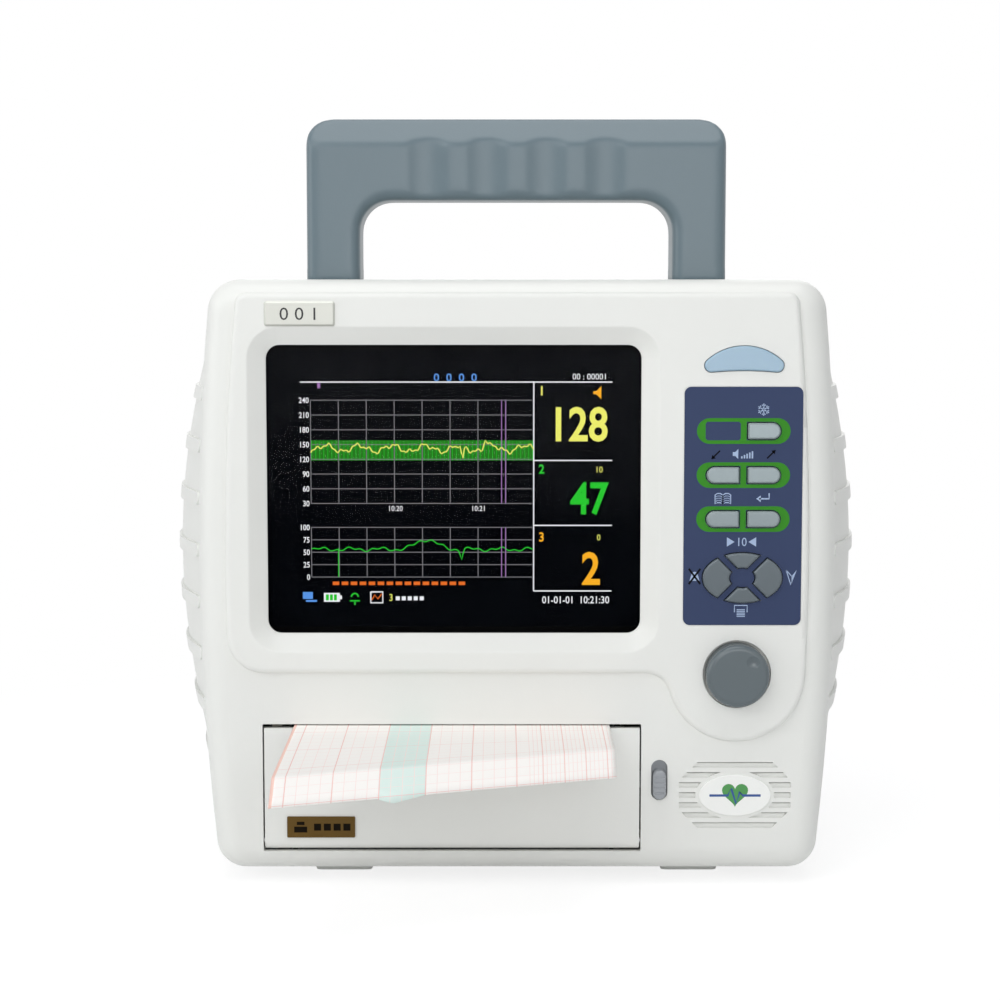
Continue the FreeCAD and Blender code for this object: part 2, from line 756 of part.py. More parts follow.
def key_bodies(grow, d0, d1):
    """Every key's outline, grown sideways and swept between two depths."""
    bodies = {}
    for name, x, z, side in key_places():
        bodies[name] = extrude_back(d_key_outline(x, z, side, grow, d0), d1 - d0)
    for name, solid in zip(CROSS_NAMES, cross_sectors(grow, d0, d1)):
        bodies[name] = solid
    return bodies


def lens_outline(grow, depth):
    """Crescent of the alarm lens: arched top, slightly hollow foot and round tips."""
    half = LENS_W / 2 - LENS_TIP_R
    rise = LENS_H / 2 - LENS_TIP_R

    def arc(end, middle):
        return Part.Arc(*[Vec(KEYPAD_X + x, at(depth), LENS_Z + z)
                          for x, z in ((-end, -rise), (0, middle), (end, -rise))]).toShape()

    core = Part.Wire([arc(half, rise), arc(-half, LENS_SAG - rise)])
    return core.makeOffset2D(LENS_TIP_R + grow)


def grille_cuts():
    """Shallow grooves in a clipped rectangle around the badge, each with a narrow sound slit along its top."""
    half_w = GRILLE_W / 2
    half_h = GRILLE_H / 2
    clip = [
        (-half_w + GRILLE_CUT, -half_h), (half_w - GRILLE_CUT, -half_h), (half_w, -half_h + GRILLE_CUT),
        (half_w, half_h - GRILLE_CUT), (half_w - GRILLE_CUT, half_h), (-half_w + GRILLE_CUT, half_h),
        (-half_w, half_h - GRILLE_CUT), (-half_w, -half_h + GRILLE_CUT),
    ]
    front = PANEL_RISE - 1
    points = [Vec(GRILLE_X + x, at(front), GRILLE_Z + z) for x, z in clip]
    field = extrude_back(rounded_polygon(points, [0] * len(points)), WALL + 2)
    island = ellipse_plate(
        GRILLE_X, GRILLE_Z, BADGE_W + 2 * BADGE_MARGIN, BADGE_H + 2 * BADGE_MARGIN, front, INNER_DEPTH + 1)
    rows = []
    for row in range(GRILLE_ROWS):
        z = GRILLE_Z + (row - (GRILLE_ROWS - 1) / 2) * GRILLE_PITCH
        top = z + GROOVE_H / 2
        rows.append(block(GRILLE_X - half_w, GRILLE_X + half_w, front, PANEL_RISE + GROOVE_DEPTH, z - GROOVE_H / 2, top))
        rows.append(block(GRILLE_X - half_w, GRILLE_X + half_w, front, INNER_DEPTH + 1, top - SLIT_H, top))
    return field.cut(island).common(rows[0].fuse(rows[1:]))


def chassis_corners():
    """Four fixing points of the inner plate, beside the display module."""
    return [(WINDOW_X + sx * CHASSIS_X, WINDOW_Z + sz * CHASSIS_Z) for sx in (-1, 1) for sz in (-1, 1)]


def board_corners():
    """Four fixing points of the key board."""
    inset = BOSS_R + 0.5
    half = KEYPAD_W / 2 - inset
    zs = (KEYPAD_Z - KEYPAD_H / 2 + inset, KEYPAD_TOP - inset)
    return [(KEYPAD_X + sx * half, z) for sx in (-1, 1) for z in zs]


def case_screw_places():
    """Four places where the two case halves are screwed together."""
    return [(side * CASE_SCREW_X, z) for side in (-1, 1) for z in CASE_SCREW_ZS]


def front_bezel():
    """Front half of the case, with its raised panel, openings, bosses and hinge lugs."""
    shell = front_block(0).fuse(raised_panel())
    cavity = front_block(WALL).fuse(extrude_back(front_outline(WALL, PARTING - 1), 2))
    shell = shell.cut(cavity)
    rim = shell.cut(window_cut())
    shell = rim.makeFillet(FLARE_ROUND, window_rim_edges(rim))

    added = []
    for x, z in case_screw_places():
        added.append(rod_y(CASE_TUBE_R, x, z, INNER_DEPTH - 1, PARTING))
    for x, z in chassis_corners():
        added.append(rod_y(BOSS_R, x, z, INNER_DEPTH - 1, LCD_BACK + LCD_SEAT))
    for x, z in board_corners():
        added.append(rod_y(BOSS_R, x, z, INNER_DEPTH - 1, BOARD_DEPTH))
    lug_high = HINGE_Z + HINGE_R
    for side, edge in ((-1, DOOR_LEFT - DOOR_GAP), (1, DOOR_RIGHT + DOOR_GAP)):
        ends = sorted((edge, edge + side * (HINGE_PIN_L + WALL)))
        added.append(block(ends[0], ends[1], INNER_DEPTH - 1, HINGE_DEPTH + HINGE_R, FLOOR_Z - 1, lug_high))
    skin = front_block(WALL / 2)
    shell = shell.fuse([solid.common(skin) for solid in added])

    cuts = [
        plate((DOOR_LEFT + DOOR_RIGHT) / 2, (OPENING_LOW + OPENING_TOP) / 2, DOOR_W + 2 * DOOR_GAP,
              OPENING_TOP - OPENING_LOW, DOOR_GAP, 0, INNER_DEPTH + 1),
        block(DOOR_LEFT - DOOR_GAP, DOOR_RIGHT + DOOR_GAP, INNER_DEPTH, HINGE_DEPTH + HINGE_R + 1, OPENING_LOW,
              OPENING_TOP),
        rod_y(WELL_R, KNOB_X, KNOB_Z, -1, WELL_DEPTH),
        rod_y(SHAFT_R + BUSH_WALL + SCREW_FIT, KNOB_X, KNOB_Z, 0, INNER_DEPTH + 1),
        plate(KEYPAD_X, KEYPAD_Z, KEYPAD_W + SEAT_GAP, KEYPAD_H + SEAT_GAP, KEYPAD_R, -1, OVERLAY_SINK),
        extrude_back(lens_outline(KEY_GAP, -1), INNER_DEPTH + 2),
        plate(LATCH_X, LATCH_Z, LATCH_W + 2 * LATCH_SIDE_GAP, LATCH_H + LATCH_TRAVEL + 2 * LATCH_SIDE_GAP,
              (LATCH_W + 2 * LATCH_SIDE_GAP) * 0.499, 0, INNER_DEPTH + 1),
        rod_x(HINGE_PIN_R + SCREW_FIT, DOOR_LEFT - DOOR_GAP - HINGE_PIN_L, DOOR_LEFT, HINGE_DEPTH, HINGE_Z),
        rod_x(HINGE_PIN_R + SCREW_FIT, DOOR_RIGHT, DOOR_RIGHT + DOOR_GAP + HINGE_PIN_L, HINGE_DEPTH, HINGE_Z),
    ]
    cuts.extend(key_bodies(KEY_GAP, -1, INNER_DEPTH + 1).values())
    cuts.extend(grille_cuts().Solids)
    for x, z in case_screw_places():
        cuts.append(rod_y(SCREW_R + SCREW_FIT, x, z, PARTING - CASE_SCREW_SEAT, PARTING + 1))
    for x, z in chassis_corners():
        cuts.append(rod_y(SCREW_R + SCREW_FIT, x, z, LCD_BACK + LCD_SEAT - SCREW_GRIP, LCD_BACK + 2))
    for x, z in board_corners():
        cuts.append(rod_y(SCREW_R + SCREW_FIT, x, z, BOARD_DEPTH - SCREW_GRIP + BOARD_T, BOARD_DEPTH + 1))
    return shell.cut(cuts).removeSplitter()


def window_rim_edges(shell):
    """Edges where the display's sloping surround meets the front of the panel."""
    low = WINDOW_LOW - 2 * FLARE
    high = WINDOW_TOP + 2 * FLARE
    left = WINDOW_X - WINDOW_W / 2 - 2 * FLARE
    right = WINDOW_X + WINDOW_W / 2 + 2 * FLARE
    found = []
    for edge in edges_on_depth(shell, 0):
        middle = edge.CenterOfMass
        if left < middle.x < right and low < middle.z < high:
            found.append(edge)
    return found


def rear_shell():
    """Rear half of the case: swelling sides with grip ribs, screw tubes, vents and back-panel openings."""
    slabs = []
    for i in range(RIB_COUNT):
        z = RIB_MIDDLE_Z + (i - (RIB_COUNT - 1) / 2) * RIB_PITCH
        low = z - RIB_HEIGHT / 2
        high = z + RIB_HEIGHT / 2
        ends = [(RIB_FRONT, low), (RIB_FRONT + RIB_LENGTH, low), (RIB_FRONT + RIB_LENGTH, high), (RIB_FRONT, high)]
        slabs.append(side_profile(ends, [RIB_HEIGHT * 0.499] * 4, -2 * HALF, 2 * HALF))
    ribs = rear_loft(-RIB_PROUD).common(Part.makeCompound(slabs))
    outer = rear_block(0).fuse(ribs.Solids)
    shell = outer.cut(rear_block(WALL))

    limit = rear_loft(WALL / 2)
    tubes = [rod_y(CASE_TUBE_R, x, z, REAR_FRONT, BODY_DEPTH) for x, z in case_screw_places()]
    shell = shell.fuse([tube.common(limit) for tube in tubes])
    shell = shell.fuse([rod_z(SCREW_R + WALL, x, depth, FLOOR_Z - 1, FLOOR_Z + SCREW_GRIP) for x, depth in cover_screws()])

    cuts = []
    for x, z in case_screw_places():
        cuts.append(rod_y(SCREW_R + 4 * SCREW_FIT, x, z, REAR_FRONT - 1, BODY_DEPTH))
        cuts.append(rod_y(SCREW_HEAD_R + 4 * SCREW_FIT, x, z, REAR_FRONT + CASE_SCREW_SEAT, BODY_DEPTH + 1))
    for x, depth in handle_screw_places():
        cuts.append(rod_z(SCREW_R + 4 * SCREW_FIT, x, depth, BODY_TOP - 2 * WALL, BODY_TOP + 1))
    for x, depth in foot_places():
        cuts.append(rod_z(FOOT_PEG_R + SCREW_FIT, x, depth, BODY_LOW - 1, FLOOR_Z + 1))
    cuts.append(flat_plate(BATTERY_X, BATTERY_DEPTH, BATTERY_W + 2 * SEAT_GAP, BATTERY_L + 2 * SEAT_GAP, 2,
                           BODY_LOW - 1, FLOOR_Z + 1))
    cuts.append(flat_plate(BATTERY_X, BATTERY_DEPTH, BATTERY_W + COVER_LAP + 2 * SEAT_GAP,
                           BATTERY_L + 4 * COVER_LAP + 2 * SEAT_GAP, 3, BODY_LOW - 1, BODY_LOW + COVER_T))
    for x, depth in cover_screws():
        cuts.append(rod_z(SCREW_R + SCREW_FIT, x, depth, BODY_LOW, FLOOR_Z + SCREW_GRIP + 1))
    cuts.append(plate(INLET_X, INLET_Z, INLET_BODY_W + 2 * SEAT_GAP, INLET_BODY_H + 2 * SEAT_GAP, 1,
                      BODY_DEPTH - 2 * WALL, BODY_DEPTH + 1))
    for x, z in inlet_screws():
        cuts.append(rod_y(SCREW_R + SCREW_FIT, x, z, BODY_DEPTH - 2 * WALL, BODY_DEPTH + 1))
    cuts.append(plate(SWITCH_X, INLET_Z, rocker_body_w() + 2 * SEAT_GAP, rocker_body_h() + 2 * SEAT_GAP, 1,
                      BODY_DEPTH - 2 * WALL, BODY_DEPTH + 1))
    cuts.append(rod_y(STUD_R + SEAT_GAP, STUD_X, INLET_Z, BODY_DEPTH - 2 * WALL, BODY_DEPTH + 1))
    for x in socket_places():
        cuts.append(rod_y(SOCKET_BORE_R + SOCKET_WALL + SEAT_GAP, x, SOCKET_Z, BODY_DEPTH - 2 * WALL, BODY_DEPTH + 1))
    for i in range(VENT_COUNT):
        z = VENT_Z + (i - (VENT_COUNT - 1) / 2) * VENT_PITCH
        cuts.append(plate(VENT_X, z, VENT_W, VENT_H, VENT_H * 0.499, BODY_DEPTH - 2 * WALL, BODY_DEPTH + 1))
    return shell.cut(cuts).removeSplitter()


def handle_screw_places():
    """Two screws up into each handle leg."""
    leg = (HANDLE_W + HANDLE_SPAN) / 4
    middle = HANDLE_AT + HANDLE_DEPTH / 2
    return [(side * leg, middle + end * HANDLE_SCREW_PITCH / 2) for side in (-1, 1) for end in (-1, 1)]


def carry_handle():
    """Fixed bow handle with a sloping top edge and finger scallops along its bar."""
    top = BODY_TOP + HANDLE_RISE
    inner_top = top - HANDLE_BAR
    back = HANDLE_AT + HANDLE_DEPTH
    outer = [(-1, BODY_TOP), (1, BODY_TOP), (1, top), (-1, top)]
    points = [Vec(side * HANDLE_W / 2, at(HANDLE_AT), z) for side, z in outer]
    bow = extrude_back(rounded_polygon(points, [0, 0, HANDLE_OUTER_R, HANDLE_OUTER_R]), HANDLE_DEPTH)
    inner = [(-1, BODY_TOP - 1), (1, BODY_TOP - 1), (1, inner_top), (-1, inner_top)]
    points = [Vec(side * HANDLE_SPAN / 2, at(HANDLE_AT), z) for side, z in inner]
    hole = extrude_back(rounded_polygon(points, [0, 0, HANDLE_INNER_R, HANDLE_INNER_R]), HANDLE_DEPTH)
    bow = bow.cut(hole)
    rims = [edge for edge in edges_on_depth(bow, HANDLE_AT) + edges_on_depth(bow, back)
            if edge.BoundBox.ZMax > BODY_TOP + 0.01]
    bow = bow.makeFillet(HANDLE_ROUND, rims)
    facet = [(HANDLE_AT - 1, top - FACET_DROP), (HANDLE_AT, top - FACET_DROP), (HANDLE_AT + FACET_RUN, top),
             (HANDLE_AT + FACET_RUN, top + 1), (HANDLE_AT - 1, top + 1)]
    bow = bow.cut(side_profile(facet, [0] * len(facet), -HANDLE_W, HANDLE_W))
    radius = (SCALLOP_W ** 2 / 4 + SCALLOP_DEPTH ** 2) / (2 * SCALLOP_DEPTH)
    scallops = []
    for i in range(SCALLOPS):
        x = (i - (SCALLOPS - 1) / 2) * SCALLOP_PITCH
        scallops.append(rod_z(radius, x, HANDLE_AT + SCALLOP_DEPTH - radius, inner_top - 1, top + 1))
    bow = bow.cut(scallops)
    for x, depth in handle_screw_places():
        bow = bow.cut(rod_z(SCREW_R + SCREW_FIT, x, depth, BODY_TOP - 1, BODY_TOP + 2 * SCREW_GRIP))
    return bow


def handle_screws():
    """Four screws from inside the case up into the handle."""
    up = Vec(0, 0, 1)
    return grouped([
        screw(Vec(x, at(depth), BODY_TOP - WALL), up, WALL + SCREW_GRIP) for x, depth in handle_screw_places()])


def case_screws():
    """Four screws from the back, deep in their tubes, into the front half."""
    shank = CASE_SCREW_SEAT + PARTING_GAP + SCREW_GRIP
    return grouped([
        screw(Vec(x, at(REAR_FRONT + CASE_SCREW_SEAT), z), Vec(0, -1, 0), shank) for x, z in case_screw_places()])


def foot_places():
    """Centres of the four feet."""
    return [(x, depth) for x in (-FOOT_X, FOOT_X) for depth in (FOOT_MARGIN, BODY_DEPTH - FOOT_MARGIN)]


def rubber_feet():
    """Four tapered feet with a peg into the case floor."""
    feet = []
    for x, depth in foot_places():
        def ring(width, length, z):
            corners = [(-1, -1), (1, -1), (1, 1), (-1, 1)]
            points = [Vec(x + sx * width / 2, at(depth) + sy * length / 2, z) for sx, sy in corners]
            return rounded_polygon(points, [2, 2, 2, 2])
        pad = Part.makeLoft([
            ring(FOOT_W - 2 * FOOT_TAPER, FOOT_L - 2 * FOOT_TAPER, 0), ring(FOOT_W, FOOT_L, FOOT_HEIGHT)], True, True)
        feet.append(pad.fuse(rod_z(FOOT_PEG_R, x, depth, FOOT_HEIGHT - 1, FLOOR_Z)))
    return grouped(feet)


def display_window():
    """Clear front glass behind the panel."""
    return plate(WINDOW_X, WINDOW_Z, WINDOW_W + 2 * GLASS_LAP, WINDOW_H + 2 * GLASS_LAP, WINDOW_R, INNER_DEPTH, GLASS_BACK)


def window_gasket():
    """Foam frame between the glass and the display module."""
    outer = plate(WINDOW_X, WINDOW_Z, LCD_W, LCD_H, 1, GLASS_BACK, LCD_FRONT)
    return outer.cut(plate(WINDOW_X, WINDOW_Z, LCD_W - 2 * GASKET_W, LCD_H - 2 * GASKET_W, 1, GLASS_BACK, LCD_FRONT))


def lcd_module():
    """Display module in its metal frame."""
    return plate(WINDOW_X, WINDOW_Z, LCD_W, LCD_H, 1, LCD_FRONT, LCD_BACK)


def chassis_plate():
    """Folded plate that holds the display and carries the main board on four pillars."""
    front = LCD_BACK + LCD_SEAT
    back = front + CHASSIS_T
    lap = BOSS_R + 1
    width = 2 * (CHASSIS_X + lap)
    height = 2 * (CHASSIS_Z + lap)
    sheet = plate(WINDOW_X, WINDOW_Z, width, height, 2, front, back)
    pillars = [rod_y(BOSS_R, x, z, back - CHASSIS_T / 2, MAIN_BOARD_FRONT) for x, z in main_board_corners()]
    sheet = sheet.fuse(pillars)
    for x, z in chassis_corners():
        sheet = sheet.cut(rod_y(SCREW_R + 4 * SCREW_FIT, x, z, front - 1, back + 1))
    return sheet


def main_board_corners():
    """Four pillars of the main board."""
    return [(WINDOW_X + sx * (LCD_W / 2 - MAIN_BOARD_INSET), WINDOW_Z + sz * (LCD_H / 2 - MAIN_BOARD_INSET))
            for sx in (-1, 1) for sz in (-1, 1)]


def chassis_screws():
    """Screws that hold the inner plate to the front half of the case."""
    seat = LCD_BACK + LCD_SEAT + CHASSIS_T
    return grouped([screw(Vec(x, at(seat), z), Vec(0, -1, 0), SCREW_GRIP) for x, z in chassis_corners()])


def main_board():
    """Main circuit board with its shield can and connector blocks."""
    back = MAIN_BOARD_FRONT + BOARD_T
    board = plate(WINDOW_X, WINDOW_Z, LCD_W - MAIN_BOARD_INSET, LCD_H - MAIN_BOARD_INSET, 2, MAIN_BOARD_FRONT, back)
    third = LCD_W / 6
    can = plate(WINDOW_X - third, WINDOW_Z, third * 1.6, LCD_H / 2, 2, back - 0.2, back + 6)
    chip = plate(WINDOW_X + third, WINDOW_Z + third / 2, third, third, 1, back - 0.2, back + 2)
    plug = plate(WINDOW_X + third, WINDOW_Z - third, third * 1.4, 8, 1, back - 0.2, back + 9)
    return board.fuse([can, chip, plug])


def power_supply():
    """Boxed mains supply against the back wall, with a vented cover."""
    back = BODY_DEPTH - WALL - SEAT_GAP
    front = back - SUPPLY_T
    box = plate(SUPPLY_X, SUPPLY_Z, SUPPLY_W, SUPPLY_H, 3, front, back)
    slots = []
    for i in range(5):
        z = SUPPLY_Z + (i - 2) * SUPPLY_H / 7
        slots.append(plate(SUPPLY_X, z, SUPPLY_W * 0.7, SUPPLY_H / 18, 1, front - 1, front + 1.5))
    return box.cut(slots)


def battery_pack():
    """Rechargeable pack that stands on its cover."""
    return flat_plate(BATTERY_X, BATTERY_DEPTH, BATTERY_W, BATTERY_L, 2, BODY_LOW + COVER_T + SEAT_GAP,
                      BODY_LOW + COVER_T + SEAT_GAP + BATTERY_H)


def cover_screws():
    """Two screws that hold the battery cover."""
    reach = BATTERY_L / 2 + COVER_LAP
    return [(BATTERY_X, BATTERY_DEPTH - reach), (BATTERY_X, BATTERY_DEPTH + reach)]


def battery_cover():
    """Lid in the underside, flush with the floor."""
    lid = flat_plate(BATTERY_X, BATTERY_DEPTH, BATTERY_W + COVER_LAP, BATTERY_L + 4 * COVER_LAP, 3, BODY_LOW,
                     BODY_LOW + COVER_T)
    for x, depth in cover_screws():
        lid = lid.cut(rod_z(SCREW_R + 4 * SCREW_FIT, x, depth, BODY_LOW - 1, FLOOR_Z))
    return lid


def battery_cover_screws():
    """Screws up through the battery cover; their heads stand below it, above the table."""
    up = Vec(0, 0, 1)
    return grouped([screw(Vec(x, at(depth), BODY_LOW), up, COVER_T + SCREW_GRIP) for x, depth in cover_screws()])


def speaker():
    """Loudspeaker behind the grille: rim, cone basket and magnet."""
    front = INNER_DEPTH + SEAT_GAP
    rim = front + 2
    profile = [
        (0, front + 1), (SPEAKER_R - 2, front), (SPEAKER_R, front), (SPEAKER_R, rim), (SPEAKER_R * 0.6, rim + 4),
        (SPEAKER_R * 0.6, front + SPEAKER_DEPTH), (0, front + SPEAKER_DEPTH),
    ]
    return turned(profile, GRILLE_X, GRILLE_Z)


def nameplate():
    """Bevelled plate above the display, left bare."""
    bevel = NAMEPLATE_T * 0.7
    solid = plate(NAMEPLATE_X, NAMEPLATE_Z, NAMEPLATE_W, NAMEPLATE_H, NAMEPLATE_T, -NAMEPLATE_T, 0)
    return solid.makeChamfer(bevel, edges_on_depth(solid, -NAMEPLATE_T))


def printer_label_plate():
    """Small plate on the printer door, left bare."""
    x = DOOR_LEFT + LABEL_LEFT + LABEL_W / 2
    return plate(x, DOOR_LOW + LABEL_LOW, LABEL_W, LABEL_H, 0.4, PANEL_RISE - LABEL_T, PANEL_RISE)


def badge_oval():
    """Oval badge in the middle of the grille, left bare."""
    solid = ellipse_plate(GRILLE_X, GRILLE_Z, BADGE_W, BADGE_H, PANEL_RISE - BADGE_T, PANEL_RISE)
    return round_front(solid, PANEL_RISE - BADGE_T, BADGE_T * 0.6)


def alarm_lens():
    """Frosted crescent lens that stands a little proud of the panel."""
    solid = extrude_back(lens_outline(0, -LENS_PROUD), LENS_PROUD + INNER_DEPTH)
    solid = round_front(solid, -LENS_PROUD, LENS_PROUD * 0.8)
    return solid.fuse(extrude_back(lens_outline(KEY_FLANGE, INNER_DEPTH), KEY_FLANGE_T))


def keypad_overlay():
    """Printed keypad sheet with an opening for each key."""
    sheet = plate(KEYPAD_X, KEYPAD_Z, KEYPAD_W, KEYPAD_H, KEYPAD_R, OVERLAY_SINK - OVERLAY_T, OVERLAY_SINK)
    return sheet.cut(list(key_bodies(KEY_GAP, -1, 1).values()))


def keys():
    """Nine separate key caps, each with a flange behind the panel."""
    front = OVERLAY_SINK - OVERLAY_T - KEY_PROUD
    caps = key_bodies(0, front, INNER_DEPTH + KEY_SEAT)
    flanges = key_bodies(KEY_FLANGE, INNER_DEPTH + KEY_SEAT, KEY_BACK)
    return {name: round_front(caps[name], front, KEY_ROUND).fuse(flanges[name]) for name in caps}


def key_board():
    """Circuit board behind the keypad and the knob."""
    low = KNOB_Z - ENCODER_W
    high = LENS_Z
    front = BOARD_DEPTH
    board = plate(KEYPAD_X, (low + high) / 2, KEYPAD_W - 1, high - low, 2, front, front + BOARD_T)
    lamp = plate(KEYPAD_X, LENS_Z - 3, 6, 4, 0.5, INNER_DEPTH + KEY_FLANGE_T + SEAT_GAP, front + 0.2)
    board = board.fuse(lamp)
    for x, z in board_corners():
        board = board.cut(rod_y(SCREW_R + 4 * SCREW_FIT, x, z, front - 1, front + BOARD_T + 1))
    return board


def board_screws():
    """Screws that hold the key board."""
    seat = BOARD_DEPTH + BOARD_T
    return grouped([screw(Vec(x, at(seat), z), Vec(0, -1, 0), SCREW_GRIP - 1) for x, z in board_corners()])


def key_switches():
    """One switch on the board behind each key."""
    tip = KEY_BACK + KEY_TRAVEL + KEY_SEAT
    places = [(x, z) for _, x, z, _ in key_places()] + cross_places()
    solids = []
    for x, z in places:
        base = plate(x, z, SWITCH_W, SWITCH_W, 0.4, tip + SWITCH_STEM_L, BOARD_DEPTH)
        solids.append(base.fuse(rod_y(SWITCH_STEM_R, x, z, tip, tip + SWITCH_STEM_L)))
    return grouped(solids)


def shaft_tail():
    """Depth where the knob's shaft ends inside the encoder."""
    return INNER_DEPTH + SHAFT_TAIL


def encoder_body():
    """Rotary encoder with a threaded bush through the panel and a bore for the shaft and its push rod."""
    front = INNER_DEPTH + SEAT_GAP
    body = plate(KNOB_X, KNOB_Z, ENCODER_W, ENCODER_W, 0.5, front, BOARD_DEPTH)
    bush = rod_y(SHAFT_R + BUSH_WALL, KNOB_X, KNOB_Z, WELL_DEPTH, front + 1)
    bore_end = shaft_tail() + PLUNGER_L + KNOB_TRAVEL + RUNNING_GAP
    return body.fuse(bush).cut(rod_y(SHAFT_R + RUNNING_GAP, KNOB_X, KNOB_Z, 0, bore_end))


def encoder_plunger():
    """Push rod behind the shaft, which slides but doesn't turn."""
    return rod_y(SHAFT_R, KNOB_X, KNOB_Z, shaft_tail(), shaft_tail() + PLUNGER_L)


def knob_back():
    """Depth of the knob's back face, clear of the well by its travel."""
    return WELL_DEPTH - KNOB_TRAVEL - KEY_SEAT


def encoder_shaft():
    """Turning shaft between the encoder and the knob."""
    return rod_y(SHAFT_R, KNOB_X, KNOB_Z, knob_back() - SHAFT_GRIP, shaft_tail())


def control_knob():
    """Round knob with a soft front edge and a finger dimple."""
    front = -KNOB_PROUD
    solid = rod_y(KNOB_R, KNOB_X, KNOB_Z, front, knob_back())
    solid = round_front(solid, front, KNOB_EDGE)
    reach = (KNOB_R - KNOB_EDGE) * 0.55
    ball_depth = front + DIMPLE_DEPTH - DIMPLE_R
    ball = Part.makeSphere(DIMPLE_R, Vec(KNOB_X + reach, at(ball_depth), KNOB_Z + reach))
    solid = solid.cut(ball)
    return solid.cut(rod_y(SHAFT_R, KNOB_X, KNOB_Z, knob_back() - SHAFT_GRIP, knob_back() + 1))


def printer_door():
    """Drop-down printer door: flat front, hinge barrel along its foot and two ears for the platen."""
    back = PANEL_RISE + WALL
    panel = block(DOOR_LEFT, DOOR_RIGHT, PANEL_RISE, back, HINGE_Z, DOOR_TOP)
    barrel = rod_x(HINGE_R, DOOR_LEFT, DOOR_RIGHT, HINGE_DEPTH, HINGE_Z)
    added = [barrel]
    ear_low = PLATEN_Z - PLATEN_R - EAR_T
    for side in (-1, 1):
        ends = sorted((PRINTER_X + side * EAR_INNER, PRINTER_X + side * EAR_OUTER))
        web = block(ends[0], ends[1], back - 1, PLATEN_DEPTH, ear_low, PLATEN_Z + PLATEN_SHAFT_R)
        added.append(web)
        added.append(rod_x(PLATEN_R - PAPER_GAP, ends[0], ends[1], PLATEN_DEPTH, PLATEN_Z))
        added.append(block(ends[0], ends[1], back - 1, back + EAR_T, HINGE_Z, ear_low + 1))
    door = panel.fuse(added)
    cuts = [rod_x(PLATEN_SHAFT_R + RUNNING_GAP, DOOR_LEFT, DOOR_RIGHT, PLATEN_DEPTH, PLATEN_Z)]
    for start, end in ((DOOR_LEFT - 1, DOOR_LEFT + HINGE_PIN_L), (DOOR_RIGHT - HINGE_PIN_L, DOOR_RIGHT + 1)):
        cuts.append(rod_x(HINGE_PIN_R + RUNNING_GAP, start, end, HINGE_DEPTH, HINGE_Z))
    return door.cut(cuts).removeSplitter()


def door_hinge_pins():
    """Two pins between the door's barrel and the case lugs."""
    spare = 0.3
    left = rod_x(HINGE_PIN_R, DOOR_LEFT - DOOR_GAP - HINGE_PIN_L + spare, DOOR_LEFT + HINGE_PIN_L - spare,
                 HINGE_DEPTH, HINGE_Z)
    right = rod_x(HINGE_PIN_R, DOOR_RIGHT - HINGE_PIN_L + spare, DOOR_RIGHT + DOOR_GAP + HINGE_PIN_L - spare,
                  HINGE_DEPTH, HINGE_Z)
    return grouped([left, right])


def platen_shaft():
    """Steel shaft of the platen, from the gear to the far ear."""
    return rod_x(PLATEN_SHAFT_R, GEAR_LEFT, PRINTER_X + EAR_OUTER, PLATEN_DEPTH, PLATEN_Z)


def platen_roller():
    """Rubber sleeve that drives the paper."""
    half = EAR_INNER - PLATEN_END_GAP
    sleeve = rod_x(PLATEN_R, PRINTER_X - half, PRINTER_X + half, PLATEN_DEPTH, PLATEN_Z)
    return sleeve.cut(rod_x(PLATEN_SHAFT_R, PRINTER_X - half, PRINTER_X + half, PLATEN_DEPTH, PLATEN_Z))


def gear(teeth, bore, depth, z, phase):
    """Spur gear with involute flanks, one tooth pointing along the given angle from +Y towards +Z."""
    pitch_r = GEAR_MODULE * teeth / 2
    tip_r = pitch_r + TOOTH_ADDENDUM * GEAR_MODULE
    root_r = pitch_r - TOOTH_DEDENDUM * GEAR_MODULE
    pressure = math.radians(PRESSURE_ANGLE)
    base_r = pitch_r * math.cos(pressure)
    half_tooth = math.pi / (2 * teeth) - TOOTH_BACKLASH / (2 * pitch_r)

    def half_angle(radius):
        slope = math.acos(min(1.0, base_r / radius))
        return half_tooth + (math.tan(pressure) - pressure) - (math.tan(slope) - slope)

    low = max(root_r, base_r)
    radii = [low + (tip_r - low) * i / (FLANK_POINTS - 1) for i in range(FLANK_POINTS)]
    flank = [(radius, half_angle(radius)) for radius in radii]
    if root_r < base_r:
        flank.insert(0, (root_r, half_angle(base_r)))
    points = []
    for tooth in range(teeth):
        centre = phase + 2 * math.pi * tooth / teeth
        sides = [(radius, centre - angle) for radius, angle in flank]
        sides += [(radius, centre + angle) for radius, angle in reversed(flank)]
        for radius, angle in sides:
            points.append(Vec(GEAR_LEFT, at(depth) + radius * math.cos(angle), z + radius * math.sin(angle)))
    disc = Part.Face(Part.makePolygon(points + [points[0]])).extrude(Vec(GEAR_W, 0, 0))
    return disc.cut(rod_x(bore, GEAR_LEFT - 1, GEAR_RIGHT + 1, depth, z))


def idler_phase():
    """Angle of one idler tooth, so that a gap faces the platen gear."""
    return math.pi + math.pi / IDLER_TEETH


def pinion_phase():
    """Angle of one pinion tooth, matched to the idler where they meet."""
    line = math.radians(PINION_ANGLE)
    offset = idler_phase() - line
    return line + math.pi + math.pi / PINION_TEETH - offset * IDLER_TEETH / PINION_TEETH


def platen_gear():
    """Gear on the platen's left end, which comes out of mesh as the door opens."""
    return gear(PLATEN_TEETH, PLATEN_SHAFT_R, PLATEN_DEPTH, PLATEN_Z, 0.0)


def idler_gear():
    """Idler between the motor and the platen."""
    return gear(IDLER_TEETH, IDLER_AXLE_R + RUNNING_GAP, IDLER_DEPTH, IDLER_Z, idler_phase())


def motor_pinion():
    """Pinion pressed on the motor's shaft."""
    return gear(PINION_TEETH, MOTOR_SHAFT_R, PINION_DEPTH, PINION_Z, pinion_phase())


